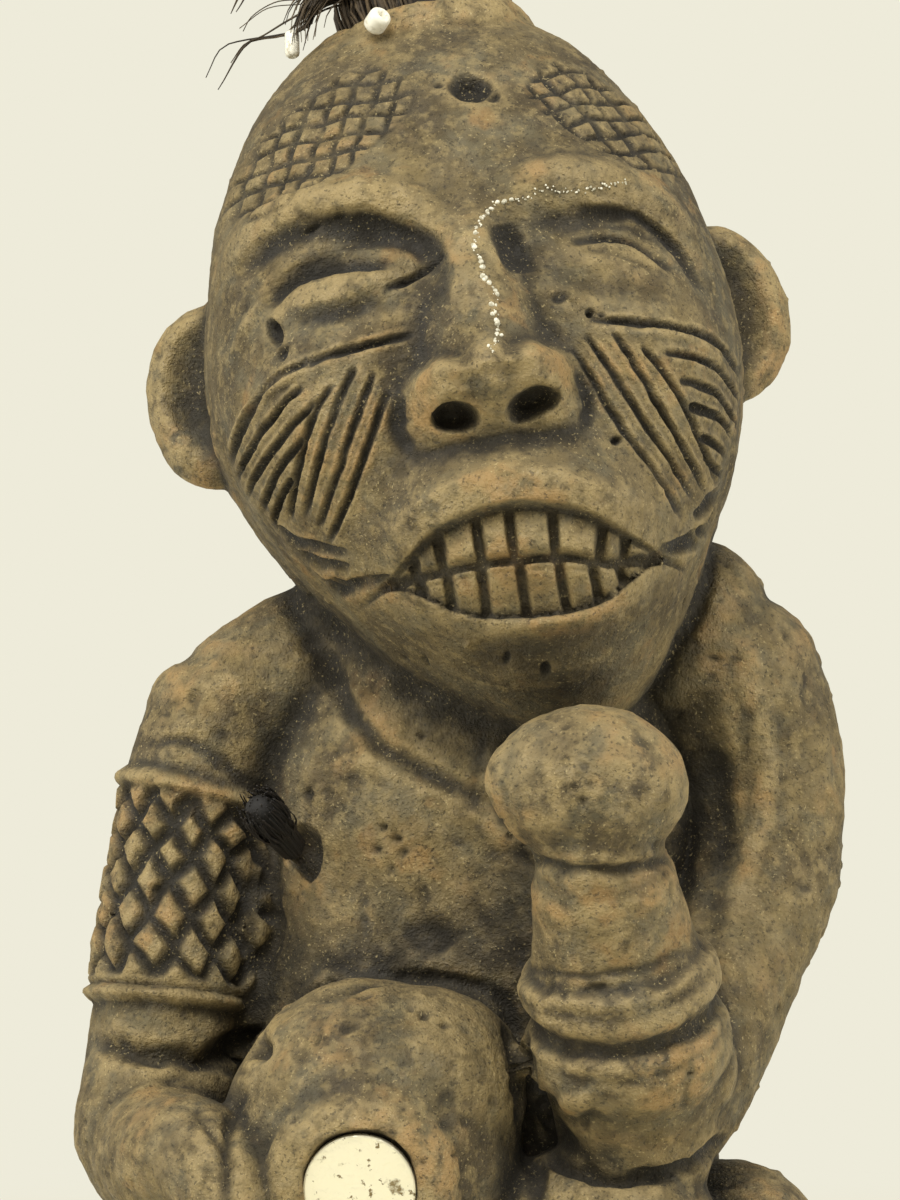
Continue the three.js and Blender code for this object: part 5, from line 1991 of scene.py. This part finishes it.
class Finish:
    """A material whose nodes read Object coordinates."""

    def __init__(self, name: str, roughness: float = 0.8, **sockets: object) -> None:
        """Starts a material with a Principled shader.

        Args:
            name: The material's name.
            roughness: The shader's roughness where nothing else drives it.
            sockets: Constant values for the shader's inputs, with _ for each space.
        """
        self.material = bpy.data.materials.new(name)
        self.material.use_nodes = True
        self.material.node_tree.nodes.clear()
        self.shade = Shade(self.material.node_tree)
        self.shader = self.shade.node("ShaderNodeBsdfPrincipled", {"Roughness": roughness})
        for key, value in sockets.items():
            self.shader.inputs[key.replace("_", " ")].default_value = value
        self.shade.node("ShaderNodeOutputMaterial", {"Surface": self.shader.outputs[0]})
        self.where = self.shade.node("ShaderNodeTexCoord").outputs["Object"]

    def mottle(self, size: float, least: float = 0.4, most: float = 0.6, detail: float = 3.0):
        """A mask of soft patches, each about so many millimetres across."""
        node = self.shade.node("ShaderNodeGroup", node_tree=mottle_group())
        self.shade.tree.links.new(self.where, node.inputs["Vector"])
        node.inputs["Patches a metre"].default_value = 1000.0 / size
        node.inputs["Least"].default_value = least
        node.inputs["Most"].default_value = most
        node.inputs["Detail"].default_value = detail
        return node.outputs["Mask"]

    def set(self, socket: str, value: bpy.types.NodeSocket) -> None:
        """Drives one of the shader's inputs."""
        self.shade.tree.links.new(value, self.shader.inputs[socket])

    def bump(self, layers: Sequence[tuple[bpy.types.NodeSocket, float]]) -> None:
        """Raises the surface by masks, each so many millimetres high."""
        height = None
        for mask, rise in layers:
            part = self.shade.math("MULTIPLY", mask, rise * MM)
            height = part if height is None else self.shade.math("ADD", height, part)
        bump = self.shade.node("ShaderNodeBump", {"Height": height, "Strength": 1.0, "Distance": 1.0})
        self.set("Normal", bump.outputs[0])


@dataclass(frozen=True)
class FiredClay:
    """Dark fired clay: brown and grey patches, warm wear, grime and painted shade in the hollows and cuts,
    painted shade in wide recesses, fine grit.
    """

    deep: Colour = (66, 56, 36)
    body: Colour = (112, 97, 63)
    grey: Colour = (98, 92, 71)
    light: Colour = (146, 128, 86)
    warm: Colour = (150, 112, 62)
    # Darkest colour: real grime for the dark grit, and the painted shade laid into hollows, cuts and wide
    # recesses.
    grime: Colour = (26, 22, 14)
    worn: Colour = (156, 136, 92)
    grit: Colour = (184, 166, 120)

    def material(self) -> bpy.types.Material:
        """Builds the material."""
        clay = Finish("fired_clay", 0.82)
        mix, span, attribute = clay.shade.mix, clay.shade.span, clay.shade.attribute

        def times(a: object, b: object) -> bpy.types.NodeSocket:
            """The product of two masks."""
            return clay.shade.math("MULTIPLY", a, b, True)

        colour = mix(clay.mottle(24.0, 0.36, 0.64), linear(self.deep), linear(self.body))
        colour = mix(times(clay.mottle(9.0, 0.45, 0.65), 0.55), colour, linear(self.grey))
        colour = mix(times(clay.mottle(12.0, 0.6, 0.7), 0.4), colour, linear(self.warm))
        colour = mix(times(clay.mottle(2.6, 0.48, 0.66), 0.45), colour, linear(self.light))
        colour = mix(times(clay.mottle(1.6, 0.52, 0.68), 0.55), colour, linear(self.deep))
        worn = times(attribute("worn"), clay.mottle(3.4, 0.3, 0.6))
        colour = mix(times(worn, 0.75), colour, linear(self.worn))
        colour = mix(times(worn, times(clay.mottle(17.0, 0.52, 0.62), 0.5)), colour, linear(self.warm))
        # Painted shade: wide recesses are darkened towards the grime colour.
        shelter = times(attribute("shelter"), span(clay.mottle(5.0, 0.3, 0.7), 0.0, 1.0, 0.55, 1.0))
        colour = mix(times(shelter, 0.8), colour, linear(self.grime))
        # Grime and painted shade: small hollows and the cuts are darkened towards the grime colour.
        colour = mix(times(attribute("hollow"), 0.8), colour, linear(self.grime))
        colour = mix(times(attribute("carved"), 0.85), colour, linear(self.grime))
        light_grit = clay.mottle(0.55, 0.6, 0.72, 2.0)
        dark_grit = clay.mottle(0.7, 0.58, 0.7, 2.0)
        colour = mix(times(light_grit, times(clay.mottle(8.0, 0.35, 0.6), 0.5)), colour, linear(self.grit))
        colour = mix(times(dark_grit, 0.55), colour, linear(self.grime))
        clay.set("Base Color", colour)
        rough = span(clay.mottle(5.0, 0.3, 0.7), 0.0, 1.0, 0.72, 0.92)
        clay.set("Roughness", clay.shade.math("SUBTRACT", rough, times(worn, 0.18)))
        clay.bump([
            (clay.mottle(2.2, 0.3, 0.7), 0.16),
            (clay.mottle(0.9, 0.35, 0.7), 0.10),
            (clay.mottle(0.45, 0.35, 0.7, 1.0), 0.05),
            (dark_grit, -0.08),
        ])
        return clay.material


@dataclass(frozen=True)
class Fibre:
    """Dull plant fibre and hair, each strand a little lighter or darker."""

    name: str
    dark: Colour
    light: Colour
    roughness: float = 0.75

    def material(self) -> bpy.types.Material:
        """Builds the material."""
        fibre = Finish(self.name, self.roughness)
        mix = fibre.shade.mix
        colour = mix(fibre.shade.attribute("shade"), linear(self.dark), linear(self.light))
        colour = mix(fibre.shade.math("MULTIPLY", fibre.mottle(2.0), 0.5), colour, linear(self.dark))
        fibre.set("Base Color", colour)
        fibre.bump([(fibre.mottle(0.5, 0.3, 0.7, 1.0), 0.03)])
        return fibre.material


@dataclass(frozen=True)
class PaleGlass:
    """White glass beads with dirt in their scratches."""

    pale: Colour = (232, 228, 212)
    dirt: Colour = (150, 138, 108)

    def material(self) -> bpy.types.Material:
        """Builds the material."""
        glass = Finish("pale_bead_glass", 0.3)
        grime = glass.shade.math("MULTIPLY", glass.mottle(1.2, 0.5, 0.7), 0.6)
        glass.set("Base Color", glass.shade.mix(grime, linear(self.pale), linear(self.dirt)))
        glass.set("Roughness", glass.shade.span(grime, 0.0, 0.6, 0.28, 0.7))
        glass.bump([(glass.mottle(0.6, 0.3, 0.7), 0.02)])
        return glass.material


@dataclass(frozen=True)
class DullMirror:
    """A looking glass gone dull, flecked with dirt; its pale cream colour is partly the glass's own tint
    and partly a painted reflection of the pale surroundings.
    """

    silver_and_painted_reflection: Colour = (236, 230, 204)
    tarnish: Colour = (120, 104, 66)

    def material(self) -> bpy.types.Material:
        """Builds the material."""
        glass = Finish("dull_looking_glass", 0.3, Metallic=0.0)
        shade = glass.shade
        fleck = shade.math("MAXIMUM", glass.mottle(1.6, 0.6, 0.66, 4.0), glass.mottle(5.0, 0.62, 0.7, 5.0))
        # Painted reflection: the pale cream, only partly metallic, stands in for the pale surroundings seen
        # in the glass.
        colour = shade.mix(fleck, linear(self.silver_and_painted_reflection), linear(self.tarnish))
        glass.set("Base Color", colour)
        glass.set("Metallic", shade.span(fleck, 0.0, 1.0, 0.55, 0.0))
        glass.set("Roughness", shade.span(fleck, 0.0, 1.0, 0.35, 0.85))
        glass.bump([(fleck, 0.08), (glass.mottle(2.2), 0.05)])
        return glass.material


@dataclass(frozen=True)
class Glue:
    """Dried white glue."""

    white: Colour = (226, 222, 204)
    grey: Colour = (170, 164, 142)

    def material(self) -> bpy.types.Material:
        """Builds the material."""
        glue = Finish("dried_glue", 0.5)
        glue.set("Base Color", glue.shade.mix(glue.mottle(0.8), linear(self.white), linear(self.grey)))
        glue.bump([(glue.mottle(0.4, 0.3, 0.7), 0.02)])
        return glue.material


# The setting


@dataclass(frozen=True)
class Studio:
    """The pale floor, the soft lights and the camera."""

    pale: Colour = (238, 235, 218)
    floor_radius: float = 3.0
    fade: Spot = (0.22, 0.5)
    lens: float = 93.75
    sensor: float = 24.0

    def floor(self) -> bpy.types.Object:
        """A wide pale floor that fades into the pale surroundings."""
        shell = bmesh.new()
        bmesh.ops.create_circle(shell, cap_ends=True, segments=96, radius=self.floor_radius)
        mesh = mesh_of(shell, "floor")
        floor = bpy.data.objects.new("floor", mesh)
        bpy.context.scene.collection.objects.link(floor)
        paper = Finish("pale_paper", 0.9)
        shade = paper.shade
        colour = shade.mix(paper.mottle(40.0), linear((226, 223, 206)), linear((232, 229, 213)))
        paper.set("Base Color", colour)
        reach = shade.node("ShaderNodeVectorMath", {0: paper.where}, operation="LENGTH").outputs["Value"]
        glow = shade.node(
            "ShaderNodeEmission", {"Color": linear(self.pale), "Strength": 1.0}
        )
        mixed = shade.node(
            "ShaderNodeMixShader",
            {0: shade.span(reach, *self.fade), 1: paper.shader.outputs[0], 2: glow.outputs[0]},
        )
        output = next(n for n in shade.tree.nodes if n.type == "OUTPUT_MATERIAL")
        shade.tree.links.new(mixed.outputs[0], output.inputs["Surface"])
        mesh.materials.append(paper.material)
        return floor

    def surroundings(self) -> None:
        """An even pale light from all sides."""
        world = bpy.data.worlds.new("pale_surroundings")
        bpy.context.scene.world = world
        world.use_nodes = True
        world.node_tree.nodes.clear()
        shade = Shade(world.node_tree)
        seen = shade.node("ShaderNodeLightPath").outputs["Is Camera Ray"]
        strength = shade.span(seen, 0.0, 1.0, 0.5, 1.0)
        light = shade.node(
            "ShaderNodeBackground", {"Color": linear(self.pale), "Strength": strength}
        )
        shade.node("ShaderNodeOutputWorld", {"Surface": light.outputs[0]})

    def lamp(self, name: str, at: Point, aim: Point, size: float, power: float) -> None:
        """A soft square lamp.

        Args:
            name: The lamp's name.
            at: Its place in metres.
            aim: Where it points.
            size: Its side in metres.
            power: Its power in watts.
        """
        data = bpy.data.lights.new(name, "AREA")
        data.shape = "SQUARE"
        data.size = size
        data.energy = power
        data.color = (1.0, 0.985, 0.94)
        lamp = bpy.data.objects.new(name, data)
        lamp.location = at
        lamp.rotation_euler = (Vector(aim) - Vector(at)).to_track_quat("-Z", "Y").to_euler()
        bpy.context.scene.collection.objects.link(lamp)

    def lights(self) -> None:
        """Hangs the lamps."""
        chest = (0.0, 0.0, 0.15)
        self.lamp("key", (-0.25, -0.75, 1.15), chest, 0.7, 17.0)
        self.lamp("left", (-1.0, -0.25, 0.45), chest, 0.6, 5.0)
        self.lamp("right", (1.0, -0.3, 0.5), chest, 0.6, 6.0)

    def camera(self, view: View) -> None:
        """Stands the camera where the front view is seen from."""
        data = bpy.data.cameras.new("front_camera")
        data.sensor_fit = "VERTICAL"
        data.sensor_height = self.sensor
        data.lens = self.lens
        data.clip_start = 0.01
        camera = bpy.data.objects.new("front_camera", data)
        camera.location = [c * MM for c in view.at]
        camera.rotation_euler = (math.radians(90.0), 0.0, 0.0)
        bpy.context.scene.collection.objects.link(camera)
        bpy.context.scene.camera = camera

    def build(self, view: View) -> None:
        """Builds the setting."""
        bpy.context.scene.view_settings.view_transform = "Standard"
        self.floor()
        self.surroundings()
        self.lights()
        self.camera(view)


# Everything together


def place(piece: bpy.types.Object, slot: str, *nodes: str) -> None:
    """Rides a piece on the body and hides the solids that it stands for."""
    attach(piece, "root")
    if nodes:
        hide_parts(*nodes)
    LOG.info("%s: %d faces", piece.name, len(piece.data.polygons))


def main() -> None:
    """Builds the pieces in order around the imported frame."""
    logging.basicConfig(level=logging.INFO, format="%(message)s")
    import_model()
    figure = Figure()
    skull = figure.skull
    place(figure.build(FiredClay().material()), "clay", "figure")
    fibre = Fibre("dry_fibre", (34, 28, 20), (92, 76, 52)).material()
    place(CrownCharge(skull).build(fibre), "fibre", "crown_charge")
    glass = PaleGlass().material()
    for bead in (
        Bead("bead_1", (-6.5, 62.0, 18.6), 1.9, 0.55, 3.6, (70.0, 0.0, 35.0)),
        Bead("bead_2", (-20.8, 65.8, 4.0), 1.25, 0.4, 4.8, (0.0, 8.0, 0.0)),
    ):
        place(bead.build(skull, glass), "bead", bead.name)
    bristle = Fibre("dark_bristle", (16, 13, 11), (46, 38, 32)).material()
    place(ChestPlug(figure.bore).build(bristle), "bristle", "chest_plug")
    place(LookingGlass(figure.mirror).build(DullMirror().material()), "looking_glass", "belly_mirror")
    place(RepairGlue(skull, figure.cuts).build(Glue().material()), "clay")
    Studio().build(figure.view)


if __name__ == "__main__":
    main()
